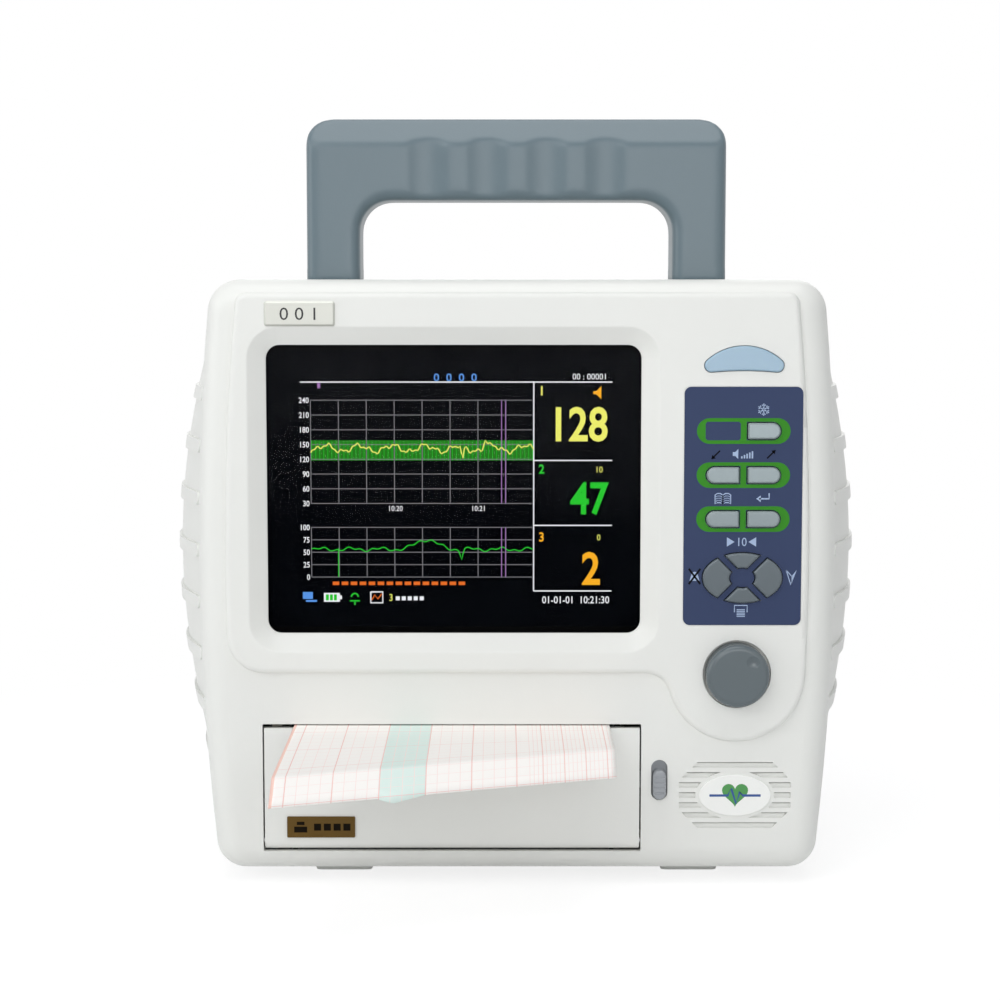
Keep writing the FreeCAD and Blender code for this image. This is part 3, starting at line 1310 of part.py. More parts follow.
def motor_shaft():
    """Shaft of the paper-feed motor."""
    return rod_x(MOTOR_SHAFT_R, PLATE_LEFT - MOTOR_L / 2, GEAR_RIGHT, PINION_DEPTH, PINION_Z)


def gear_plate():
    """Upright steel plate with the idler's axle and the motor's seat, standing on the case floor."""
    low = FLOOR_Z
    high = IDLER_Z + IDLER_AXLE_R + 4
    front = REAR_FRONT
    back = PINION_DEPTH + MOTOR_R + 2
    sheet = side_profile([(front, low), (back, low), (back, PINION_Z + MOTOR_R), (IDLER_DEPTH + 6, high), (front, high)],
                         [1, 1, 6, 3, 1], PLATE_LEFT, PLATE_RIGHT)
    foot = block(PLATE_LEFT - 6, PLATE_RIGHT, front, back, low, low + GEAR_PLATE_T)
    axle = rod_x(IDLER_AXLE_R, PLATE_LEFT, GEAR_RIGHT, IDLER_DEPTH, IDLER_Z)
    hole = rod_x(MOTOR_SHAFT_R + 1, PLATE_LEFT - 1, PLATE_RIGHT + 1, PINION_DEPTH, PINION_Z)
    return sheet.fuse([foot, axle]).cut(hole)


def feed_motor():
    """Flat stepping motor that drives the paper."""
    can = rod_x(MOTOR_R, PLATE_LEFT - MOTOR_L, PLATE_LEFT, PINION_DEPTH, PINION_Z)
    end = PLATE_LEFT - MOTOR_L
    can = can.makeFillet(1.0, [edge for edge in can.Edges if abs(edge.BoundBox.XMax - end) < 1e-4])
    return can.cut(rod_x(MOTOR_SHAFT_R + RUNNING_GAP, PLATE_LEFT - MOTOR_L / 2 - 1, PLATE_LEFT + 1, PINION_DEPTH,
                         PINION_Z))


def head_point(out, along):
    """Depth and height of a point measured out from the platen and along the print head's face."""
    angle = math.radians(HEAD_ANGLE)
    depth = PLATEN_DEPTH + out * math.cos(angle) - along * math.sin(angle)
    return depth, PLATEN_Z + out * math.sin(angle) + along * math.cos(angle)


def print_head():
    """Thermal head that faces the platen, with a finned heat sink behind it."""
    face = HEAD_FACE
    back = face + HEAD_T
    half = BAY_INNER - BAY_SEAT
    corners = [head_point(face, -HEAD_BELOW), head_point(back, -HEAD_BELOW), head_point(back, HEAD_ABOVE),
               head_point(face, HEAD_ABOVE)]
    solid = side_profile(corners, [0.4] * 4, PRINTER_X - half, PRINTER_X + half)
    fins = []
    count = 4
    for i in range(count):
        start = -HEAD_BELOW + 1 + i * (HEAD_ABOVE + HEAD_BELOW - 2 - SINK_FIN) / (count - 1)
        fin = [head_point(back - 0.5, start), head_point(back + SINK_T, start),
               head_point(back + SINK_T, start + SINK_FIN), head_point(back - 0.5, start + SINK_FIN)]
        fins.append(side_profile(fin, [0] * 4, PRINTER_X - half, PRINTER_X + half))
    return solid.fuse(fins)


def printer_bay():
    """Paper tray with side cheeks that also hold the print head."""
    back = PACK_BACK + PACK_GAP
    low = FLOOR_Z
    cheek_top = PLATEN_Z + HEAD_ABOVE + SINK_T + 1
    cheek_front = PLATEN_DEPTH + PLATEN_R
    cheek_back = cheek_front + 16
    wall_top = PACK_TOP + 4
    outline = [(REAR_FRONT, low), (back + BAY_WALL, low), (back + BAY_WALL, wall_top), (cheek_back, wall_top),
               (cheek_back, cheek_top), (cheek_front, cheek_top), (cheek_front, PLATEN_Z - PLATEN_R), (REAR_FRONT, wall_top)]
    walls = []
    for side in (-1, 1):
        ends = sorted((PRINTER_X + side * BAY_INNER, PRINTER_X + side * BAY_OUTER))
        walls.append(side_profile(outline, [0] * len(outline), ends[0], ends[1]))
    floor_front = HINGE_DEPTH + HINGE_R + 1
    floor = block(PRINTER_X - BAY_OUTER, PRINTER_X + BAY_OUTER, floor_front, back + BAY_WALL, BAY_FLOOR_Z - BAY_WALL,
                  BAY_FLOOR_Z)
    rear = block(PRINTER_X - BAY_OUTER, PRINTER_X + BAY_OUTER, back, back + BAY_WALL, low, wall_top)
    return floor.fuse(walls + [rear]).removeSplitter()


def paper_pack():
    """Fan-folded chart paper in the tray."""
    half = PAPER_W / 2
    return block(PRINTER_X - half, PRINTER_X + half, PACK_FRONT, PACK_BACK, BAY_FLOOR_Z + PACK_GAP, PACK_TOP)


def offset_line(points, distance):
    """Bent line moved sideways by a distance."""
    moved = []
    for i, (depth, z) in enumerate(points):
        normals = []
        for a, b in ((i - 1, i), (i, i + 1)):
            if a < 0 or b >= len(points):
                continue
            run = (points[b][0] - points[a][0], points[b][1] - points[a][1])
            length = math.hypot(run[0], run[1])
            normals.append((-run[1] / length, run[0] / length))
        mean = (sum(n[0] for n in normals), sum(n[1] for n in normals))
        size = math.hypot(mean[0], mean[1])
        unit = (mean[0] / size, mean[1] / size)
        stretch = distance / (unit[0] * normals[0][0] + unit[1] * normals[0][1])
        moved.append((depth + unit[0] * stretch, z + unit[1] * stretch))
    return moved


def ribbon(points, radii, thickness, x0, x1):
    """Sheet of even thickness along a bent line of (depth, height) points."""
    left = offset_line(points, thickness / 2)
    right = offset_line(points, -thickness / 2)
    left_radii = []
    right_radii = []
    for i, radius in enumerate(radii):
        if radius <= 0:
            left_radii.append(0)
            right_radii.append(0)
            continue
        before = (points[i][0] - points[i - 1][0], points[i][1] - points[i - 1][1])
        after = (points[i + 1][0] - points[i][0], points[i + 1][1] - points[i][1])
        turn = math.copysign(1.0, before[0] * after[1] - before[1] * after[0])
        left_radii.append(radius - turn * thickness / 2)
        right_radii.append(radius + turn * thickness / 2)
    return side_profile(left + right[::-1], left_radii + right_radii[::-1], x0, x1)


def paper_route():
    """Centre line of the chart strip, from the pack over the platen and out of the slot to its torn end."""
    rest_z = PACK_TOP + PACK_GAP + PAPER_T / 2
    start = (PACK_FRONT + 14, rest_z)
    edge = (PACK_FRONT + 2, rest_z)
    out = math.atan2(PLATEN_Z - HINGE_Z, PLATEN_BACK)
    gap = (edge[0] - PLATEN_DEPTH, edge[1] - PLATEN_Z)
    come = math.atan2(gap[1], gap[0]) + math.acos(PAPER_R / math.hypot(gap[0], gap[1]))
    middle = (come + out) / 2
    reach = PAPER_R / math.cos((out - come) / 2)
    wrap = (PLATEN_DEPTH + reach * math.cos(middle), PLATEN_Z + reach * math.sin(middle))
    slope = TONGUE_DROP / (PANEL_RISE + TONGUE_REACH)
    leave = (PLATEN_DEPTH + PAPER_R * math.cos(out), PLATEN_Z + PAPER_R * math.sin(out))
    climb = math.cos(out) / math.sin(out)
    bend_depth = (leave[1] + leave[0] * climb - SLOT_Z + PANEL_RISE * slope) / (climb + slope)
    bend = (bend_depth, SLOT_Z + (bend_depth - PANEL_RISE) * slope)
    mouth = (-PANEL_RISE, SLOT_Z - 2 * PANEL_RISE * slope)
    return [start, edge, wrap, bend, mouth], [0, 1.5, PAPER_R, 18.0, 0]


def paper_sheet(points):
    """Flat piece of the strip through (x, depth, height) points, with the strip's thickness."""
    corners = [Vec(x, at(depth), z - PAPER_T / 2) for x, depth, z in points]
    return Part.Face(Part.makePolygon(corners + [corners[0]])).extrude(Vec(0, 0, PAPER_T))


def paper_strip():
    """Printed strip that leaves the slot, with an oblique fold and a drooping lip that is torn off unevenly."""
    points, radii = paper_route()
    left = PRINTER_X - PAPER_W / 2
    right = PRINTER_X + PAPER_W / 2
    strip = ribbon(points, radii, PAPER_T, left, right)
    mouth_depth, mouth_z = points[-1]
    slope = TONGUE_DROP / (PANEL_RISE + TONGUE_REACH)

    def on_fold(share):
        depth = -TONGUE_REACH + share * (TONGUE_REACH - TONGUE_RIGHT_REACH)
        return left + share * PAPER_W, depth, SLOT_Z + (depth - PANEL_RISE) * slope

    def beyond(share, reach):
        x, depth, z = on_fold(share)
        return x, depth - reach * LIP_REACH, z - reach * LIP_DROP

    tongue = paper_sheet([(left, mouth_depth, mouth_z), (right, mouth_depth, mouth_z), on_fold(1), on_fold(0)])
    torn = [beyond(0, 1), beyond(TAB_START, 1), beyond(TAB_TIP, 1 + TAB_SHARE), beyond(TAB_END, 1), beyond(1, 1)]
    lip = paper_sheet([on_fold(0)] + torn + [on_fold(1)])
    return strip.fuse([tongue, lip]).removeSplitter()


def latch_slider():
    """Ridged slide of the door latch, at the foot of its slot, with a guide plate and a hook behind the wall."""
    z = LATCH_Z - LATCH_TRAVEL / 2
    radius = LATCH_W * 0.499
    stem = plate(LATCH_X, z, LATCH_W, LATCH_H, radius, PANEL_RISE - LATCH_PROUD, INNER_DEPTH + KEY_SEAT + 0.5)
    stem = round_front(stem, PANEL_RISE - LATCH_PROUD, 0.8)
    ridges = []
    for i in range(LATCH_RIDGES):
        ridge_z = z + (i - (LATCH_RIDGES - 1) / 2) * LATCH_H / (LATCH_RIDGES + 1.5)
        ridges.append(rod_x(0.45, LATCH_X - LATCH_W, LATCH_X + LATCH_W, PANEL_RISE - LATCH_PROUD - 0.1, ridge_z))
    stem = stem.cut(ridges)
    back = INNER_DEPTH + KEY_SEAT
    width = LATCH_W + 2 * LATCH_SIDE_GAP + 2 * LATCH_BACK_LAP
    guide = plate(LATCH_X, z, width, LATCH_H + LATCH_TRAVEL + 2 * LATCH_BACK_LAP, 1, back, back + LATCH_BACK_T)
    hook = block(LATCH_X - width / 2 - 2, LATCH_X - width / 2 + 1, back, back + LATCH_BACK_T, z - 2, z + 4)
    return stem.fuse([guide, hook]).removeSplitter()


def inlet_screws():
    """Two flange screws of the mains inlet."""
    half = (INLET_FLANGE_W + INLET_BODY_W) / 4
    return [(INLET_X - half, INLET_Z), (INLET_X + half, INLET_Z)]


def socket_wire(width, height, depth):
    """Mains socket outline: a rectangle with its two upper corners cut off."""
    half = width / 2
    high = height / 2
    points = [(-half, -high), (half, -high), (half, high - INLET_CHAMFER), (half - INLET_CHAMFER, high),
              (-half + INLET_CHAMFER, high), (-half, high - INLET_CHAMFER)]
    return rounded_polygon([Vec(INLET_X + x, at(depth), INLET_Z + z) for x, z in points], [0.8] * 6)


def mains_inlet():
    """Flanged appliance inlet in the back wall."""
    back = BODY_DEPTH + INLET_FLANGE_T
    flange = plate(INLET_X, INLET_Z, INLET_FLANGE_W, INLET_FLANGE_H, 4, BODY_DEPTH, back)
    body = plate(INLET_X, INLET_Z, INLET_BODY_W, INLET_BODY_H, 1, back - INLET_DEPTH - INLET_FLOOR, BODY_DEPTH + 0.5)
    inlet = flange.fuse(body)
    inlet = inlet.cut(extrude_back(socket_wire(INLET_SOCKET_W, INLET_SOCKET_H, back - INLET_DEPTH), INLET_DEPTH + 1))
    holes = [rod_y(SCREW_R + 4 * SCREW_FIT, x, z, BODY_DEPTH - 1, back + 1) for x, z in inlet_screws()]
    for x, z in pin_places():
        floor = back - INLET_DEPTH
        holes.append(plate(x, z, PIN_W, PIN_H, 0.3, floor - INLET_FLOOR - 1, floor + 1))
    return inlet.cut(holes)


def pin_places():
    """Live, neutral and earth pins of the inlet."""
    return [(INLET_X - PIN_SPREAD, INLET_Z), (INLET_X + PIN_SPREAD, INLET_Z), (INLET_X, INLET_Z + PIN_EARTH_RISE)]


def inlet_pins():
    """Three flat pins through the floor of the inlet."""
    floor = BODY_DEPTH + INLET_FLANGE_T - INLET_DEPTH
    return grouped([plate(x, z, PIN_W, PIN_H, 0.3, floor - 2 * INLET_FLOOR, floor + PIN_L) for x, z in pin_places()])


def rocker_body_w():
    """Width of the switch body that passes through the wall."""
    return ROCKER_L + 2 * ROCKER_GAP + 2 * ROCKER_FRAME_T


def rocker_body_h():
    """Height of the switch body that passes through the wall."""
    return 2 * (ROCKER_R + ROCKER_GAP + ROCKER_FRAME_T)


def rocker_axis():
    """Depth of the rocker's pivot."""
    return BODY_DEPTH + ROCKER_FRAME_T - ROCKER_FACE + 0.4


def power_switch_frame():
    """Housing of the mains switch with an open front and two pivot holes."""
    back = BODY_DEPTH + ROCKER_FRAME_T
    axis = rocker_axis()
    front = axis - ROCKER_R - ROCKER_GAP - ROCKER_FRAME_T
    width = rocker_body_w()
    height = rocker_body_h()
    rim = plate(SWITCH_X, INLET_Z, width + 2 * ROCKER_FRAME_RIM, height + 2 * ROCKER_FRAME_RIM, 1.5, BODY_DEPTH, back)
    frame = rim.fuse(plate(SWITCH_X, INLET_Z, width, height, 1, front, BODY_DEPTH + 0.5))
    frame = frame.cut(plate(SWITCH_X, INLET_Z, ROCKER_L + 2 * ROCKER_GAP, 2 * (ROCKER_R + ROCKER_GAP), 0.5,
                            axis - ROCKER_R - ROCKER_GAP, back + 1))
    reach = ROCKER_L / 2 + ROCKER_GAP + ROCKER_FRAME_T / 2
    return frame.cut(rod_x(ROCKER_PIVOT_R + RUNNING_GAP, SWITCH_X - reach, SWITCH_X + reach, axis, INLET_Z))


def power_rocker():
    """Two-faced rocker on its pivot, tipped to one side."""
    axis = rocker_axis()
    half = ROCKER_L / 2
    drum = rod_x(ROCKER_R, SWITCH_X - half, SWITCH_X + half, axis, INLET_Z)
    pivot = Vec(SWITCH_X, at(axis), INLET_Z)
    for tilt in (0, 2 * ROCKER_TILT):
        cut = block(SWITCH_X - half, SWITCH_X + half, axis + ROCKER_FACE, axis + 2 * ROCKER_R, INLET_Z - 2 * ROCKER_R,
                    INLET_Z + 2 * ROCKER_R)
        side = -2 * ROCKER_R if tilt == 0 else 2 * ROCKER_R
        cut.translate(Vec(0, 0, side))
        cut.rotate(pivot, Vec(1, 0, 0), tilt - 2 * ROCKER_TILT)
        drum = drum.cut(cut)
    reach = half + ROCKER_GAP + ROCKER_FRAME_T / 2 - RUNNING_GAP
    return drum.fuse(rod_x(ROCKER_PIVOT_R, SWITCH_X - reach, SWITCH_X + reach, axis, INLET_Z))


def socket_places():
    """X of each sensor socket."""
    return [SOCKET_FIRST_X - i * SOCKET_PITCH for i in range(SOCKET_COUNT)]


def probe_sockets():
    """Round sensor sockets in the back wall, each with a plain bore."""
    back = BODY_DEPTH + SOCKET_FLANGE_T
    outer = SOCKET_BORE_R + SOCKET_WALL
    front = back - SOCKET_BORE_L - SOCKET_WALL
    solids = []
    for x in socket_places():
        profile = [(0, front), (outer, front), (outer, BODY_DEPTH), (SOCKET_FLANGE_R, BODY_DEPTH),
                   (SOCKET_FLANGE_R, back - 0.8), (SOCKET_FLANGE_R - 0.8, back), (SOCKET_BORE_R, back),
                   (SOCKET_BORE_R, back - SOCKET_BORE_L), (0, back - SOCKET_BORE_L)]
        solids.append(turned(profile, x, SOCKET_Z))
    return grouped(solids)


def earth_stud():
    """Earth-bonding stud with a collar on each side of the wall."""
    back = BODY_DEPTH
    inner = back - WALL - STUD_NUT_T
    profile = [(0, inner - 2), (STUD_R, inner - 2), (STUD_R, inner), (STUD_NUT_R, inner), (STUD_NUT_R, back - WALL),
               (STUD_R, back - WALL), (STUD_R, back), (STUD_NUT_R, back), (STUD_NUT_R, back + STUD_NUT_T),
               (STUD_R, back + STUD_NUT_T), (STUD_R, back + STUD_L - 0.8), (STUD_R - 0.8, back + STUD_L),
               (0, back + STUD_L)]
    return turned(profile, STUD_X, INLET_Z)


PIECES = (
    front_bezel, rear_shell, carry_handle, handle_screws, case_screws, rubber_feet, display_window, window_gasket,
    lcd_module, chassis_plate, chassis_screws, main_board, power_supply, battery_pack, battery_cover,
    battery_cover_screws, speaker, nameplate, printer_label_plate, badge_oval, alarm_lens, keypad_overlay, key_board,
    board_screws, key_switches, encoder_body, encoder_plunger, encoder_shaft, control_knob, printer_door,
    door_hinge_pins, platen_shaft, platen_roller, platen_gear, idler_gear, gear_plate, motor_pinion, motor_shaft,
    feed_motor, print_head, printer_bay, paper_pack, paper_strip, latch_slider, mains_inlet, inlet_pins,
    power_switch_frame, power_rocker, probe_sockets, earth_stud,
)


def main():
    """Builds every piece and writes one file for each."""
    os.makedirs("parts", exist_ok=True)
    shapes = {piece.__name__: piece() for piece in PIECES}
    shapes.update(keys())
    for name, shape in shapes.items():
        shape.exportStep(os.path.join("parts", name + ".step"))
        print(name, len(shape.Solids), "valid" if shape.isValid() else "NOT VALID", round(shape.Volume, 1))


if __name__ == "__main__":
    main()
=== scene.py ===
"""Looks of a portable bedside monitor with a strip-chart printer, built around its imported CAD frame."""

import logging
import math
from dataclasses import dataclass, field
from enum import Enum
from typing import Callable, Iterable, Sequence

import bmesh
import bpy
from mathutils import Matrix, Vector

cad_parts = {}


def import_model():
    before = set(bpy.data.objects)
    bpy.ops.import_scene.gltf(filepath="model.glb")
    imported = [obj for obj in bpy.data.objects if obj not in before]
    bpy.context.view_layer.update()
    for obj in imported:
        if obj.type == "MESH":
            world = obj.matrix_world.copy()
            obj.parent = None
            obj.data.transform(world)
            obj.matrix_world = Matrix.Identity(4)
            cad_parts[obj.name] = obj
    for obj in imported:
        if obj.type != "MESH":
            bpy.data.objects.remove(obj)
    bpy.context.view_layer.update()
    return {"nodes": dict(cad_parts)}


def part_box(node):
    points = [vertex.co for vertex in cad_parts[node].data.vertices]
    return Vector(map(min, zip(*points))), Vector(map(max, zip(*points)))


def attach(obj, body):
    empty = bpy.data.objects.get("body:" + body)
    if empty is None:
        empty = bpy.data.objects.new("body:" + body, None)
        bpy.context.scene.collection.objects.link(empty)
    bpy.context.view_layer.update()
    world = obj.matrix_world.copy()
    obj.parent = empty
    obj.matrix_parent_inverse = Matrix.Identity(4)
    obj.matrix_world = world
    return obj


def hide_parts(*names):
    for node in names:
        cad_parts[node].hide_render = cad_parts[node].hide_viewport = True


LOG = logging.getLogger("scene")
MM = 0.001
Point = tuple[float, float]
GRAIN_DEPTH = 0.0004
GRAIN_DETAIL = 3.0
BRUSH_STRETCH = (0.04, 1.0, 1.0)
ROUGHNESS_SWING = 0.06
CLOUD_SCALE = 14.0
SMEAR_SCALE = 30.0
PANE_ROUGHNESS = 0.08
PANE_GLOSS = (0.0005, 0.002)
RASTER_SCALE = 5600.0
RASTER_DIM = 0.9
TRACK_SCALE = 260.0
TRACK_EDGE = 0.62
TRACK_LIGHT = 1.7
LEAF_SCALE = 420.0
LEAF_SHADE = 0.62
TONGUE_STEPS = 40


class Surface(Enum):
    """How a finish behaves in the light."""

    MOULDED = "moulded"
    SATIN = "satin"
    BRUSHED = "brushed"
    BOARD = "board"
    CLEAR = "clear"
    FROSTED = "frosted"
    GLOW = "glow"
    INK = "ink"
    STACK = "stack"
    CHART = "chart"


@dataclass(frozen=True)
class Finish:
    """One procedural finish.

    Attributes:
        name: Name of the material.
        colour: Red, green and blue from 0 to 255, as seen on a screen.
        surface: Kind of surface.
        roughness: Mean roughness.
        metallic: Share of metal.
        grain: Scale of the fine texture, per metre.
        relief: Strength of the fine texture.
        mottle: Size of the slow colour change.
        specular: Strength of the mirror-like share.
    """

    name: str
    colour: tuple[int, int, int]
    surface: Surface = Surface.MOULDED
    roughness: float = 0.45
    metallic: float = 0.0
    grain: float = 1800.0
    relief: float = 0.05
    mottle: float = 0.03
    specular: float = 0.5


HOUSING = Finish("housing", (231, 232, 228), roughness=0.42, relief=0.06)
HANDLE = Finish("handle", (97, 114, 122), roughness=0.34, relief=0.06, grain=1500.0)
STEEL = Finish("steel", (180, 182, 185), Surface.BRUSHED, 0.32, 1.0, 900.0, 0.04)
RUBBER = Finish("rubber", (34, 34, 36), roughness=0.8, relief=0.12, grain=1200.0)
FEET = Finish("feet", (231, 232, 228), roughness=0.7, relief=0.10)
GLASS = Finish("glass", (230, 238, 242), Surface.CLEAR, 0.04)
FOAM = Finish("foam", (6, 6, 7), roughness=0.9, relief=0.2, grain=2500.0, specular=0.05)
LCD = Finish("lcd", (3, 4, 7), roughness=0.5, relief=0.01, specular=0.0)
ALLOY = Finish("alloy", (186, 188, 190), Surface.BRUSHED, 0.38, 1.0, 700.0, 0.05)
BOARD = Finish("board", (20, 92, 52), Surface.BOARD, 0.4, relief=0.05)
SLEEVE = Finish("sleeve", (30, 34, 44), Surface.SATIN, 0.35)
BLACK = Finish("black", (24, 24, 26), roughness=0.5, relief=0.10)
BADGE = Finish("badge", (196, 197, 190), Surface.BRUSHED, 0.40, 0.35, 1200.0, 0.04)
CREST = Finish("crest", (244, 245, 242), Surface.SATIN, 0.35, relief=0.02)
LABEL = Finish("label", (98, 74, 30), Surface.BRUSHED, 0.45, 0.0, 900.0, 0.04, specular=0.15)
LENS = Finish("lens", (152, 181, 201), Surface.FROSTED, 0.35)
OVERLAY = Finish("overlay", (54, 66, 98), roughness=0.5, relief=0.05, grain=2600.0, specular=0.15)
KEY = Finish("key", (118, 129, 132), Surface.SATIN, 0.18, 0.40, relief=0.02)
CROSS = Finish("cross_key", (84, 94, 100), Surface.SATIN, 0.20, 0.30, relief=0.02)
KNOB = Finish("knob", (86, 97, 102), Surface.SATIN, 0.22, relief=0.02)
LATCH = Finish("latch", (152, 156, 161), Surface.SATIN, 0.40, relief=0.03)
BRASS = Finish("brass", (196, 160, 88), Surface.BRUSHED, 0.30, 1.0, 900.0, 0.04)
ACETAL = Finish("acetal", (228, 226, 214), Surface.SATIN, 0.40)
TRAY = Finish("tray", (82, 86, 90), roughness=0.55, relief=0.08)

NODE_FINISH: dict[str, Finish] = {
    "front_bezel": HOUSING, "rear_shell": HOUSING, "printer_door": HOUSING, "battery_cover": HOUSING,
    "carry_handle": HANDLE, "handle_screws": STEEL, "case_screws": STEEL, "chassis_screws": STEEL,
    "board_screws": STEEL, "battery_cover_screws": STEEL, "rubber_feet": FEET, "display_window": GLASS,
    "window_gasket": FOAM, "lcd_module": LCD, "chassis_plate": ALLOY, "main_board": BOARD, "power_supply": ALLOY,
    "battery_pack": SLEEVE, "speaker": BLACK, "nameplate": BADGE, "printer_label_plate": LABEL, "badge_oval": CREST,
    "alarm_lens": LENS, "keypad_overlay": OVERLAY, "key_board": BOARD, "key_switches": BLACK, "encoder_body": BRASS,
    "encoder_plunger": STEEL, "encoder_shaft": STEEL, "control_knob": KNOB, "door_hinge_pins": STEEL,
    "platen_shaft": STEEL, "platen_roller": RUBBER, "platen_gear": ACETAL, "idler_gear": ACETAL, "gear_plate": ALLOY,
    "motor_pinion": BRASS, "motor_shaft": STEEL, "feed_motor": STEEL, "print_head": ALLOY, "printer_bay": TRAY,
    "latch_slider": LATCH, "mains_inlet": BLACK, "inlet_pins": BRASS, "power_switch_frame": BLACK,
    "power_rocker": BLACK, "probe_sockets": BLACK, "earth_stud": BRASS, "key_up": CROSS, "key_down": CROSS,
    "key_left": CROSS, "key_right": CROSS,
}


def linear(colour: tuple[int, int, int]) -> tuple[float, float, float, float]:
    """Screen colour as linear light.

    Args:
        colour: Red, green and blue from 0 to 255.

    Returns:
        Red, green, blue and full cover.
    """
    def one(value: int) -> float:
        """One channel."""
        share = value / 255.0
        return share / 12.92 if share <= 0.04045 else ((share + 0.055) / 1.055) ** 2.4
    return one(colour[0]), one(colour[1]), one(colour[2]), 1.0


def shaded(colour: tuple[float, ...], share: float) -> tuple[float, ...]:
    """Linear colour made darker or lighter, at full cover."""
    return tuple(min(1.0, value * share) for value in colour[:3]) + (1.0,)


@dataclass(frozen=True)
class ChartRuling:
    """Print of the chart paper, in strip millimetres.

    Attributes:
        seam: Where the wide ruling on the left meets the close one.
        wide: Shift, pitch and line of the wide ruling.
        wide_bold: The same for its bold lines.
        close: Pitch and line of the close ruling.
        close_bold: The same for its bold lines.
        rows: Pitch and line of the cross lines.
        rows_bold: The same for the bold cross lines.
        band: Start and end of the mint band.
        edge: Width of the tinted edge.
    """

    seam: float = 84.6
    wide: tuple[float, float, float] = (3.26, 3.83, 0.20)
    wide_bold: tuple[float, float, float] = (10.95, 15.32, 0.36)
    close: tuple[float, float] = (1.5, 0.22)
    close_bold: tuple[float, float] = (7.5, 0.34)
    rows: tuple[float, float] = (4.0, 0.14)
    rows_bold: tuple[float, float] = (20.0, 0.26)
    band: tuple[float, float] = (35.0, 50.6)
    edge: float = 1.0
    band_ink: tuple[int, int, int] = (224, 240, 234)
    fine_ink: tuple[int, int, int] = (250, 230, 226)
    bold_ink: tuple[int, int, int] = (242, 204, 199)
    edge_ink: tuple[int, int, int] = (248, 208, 196)


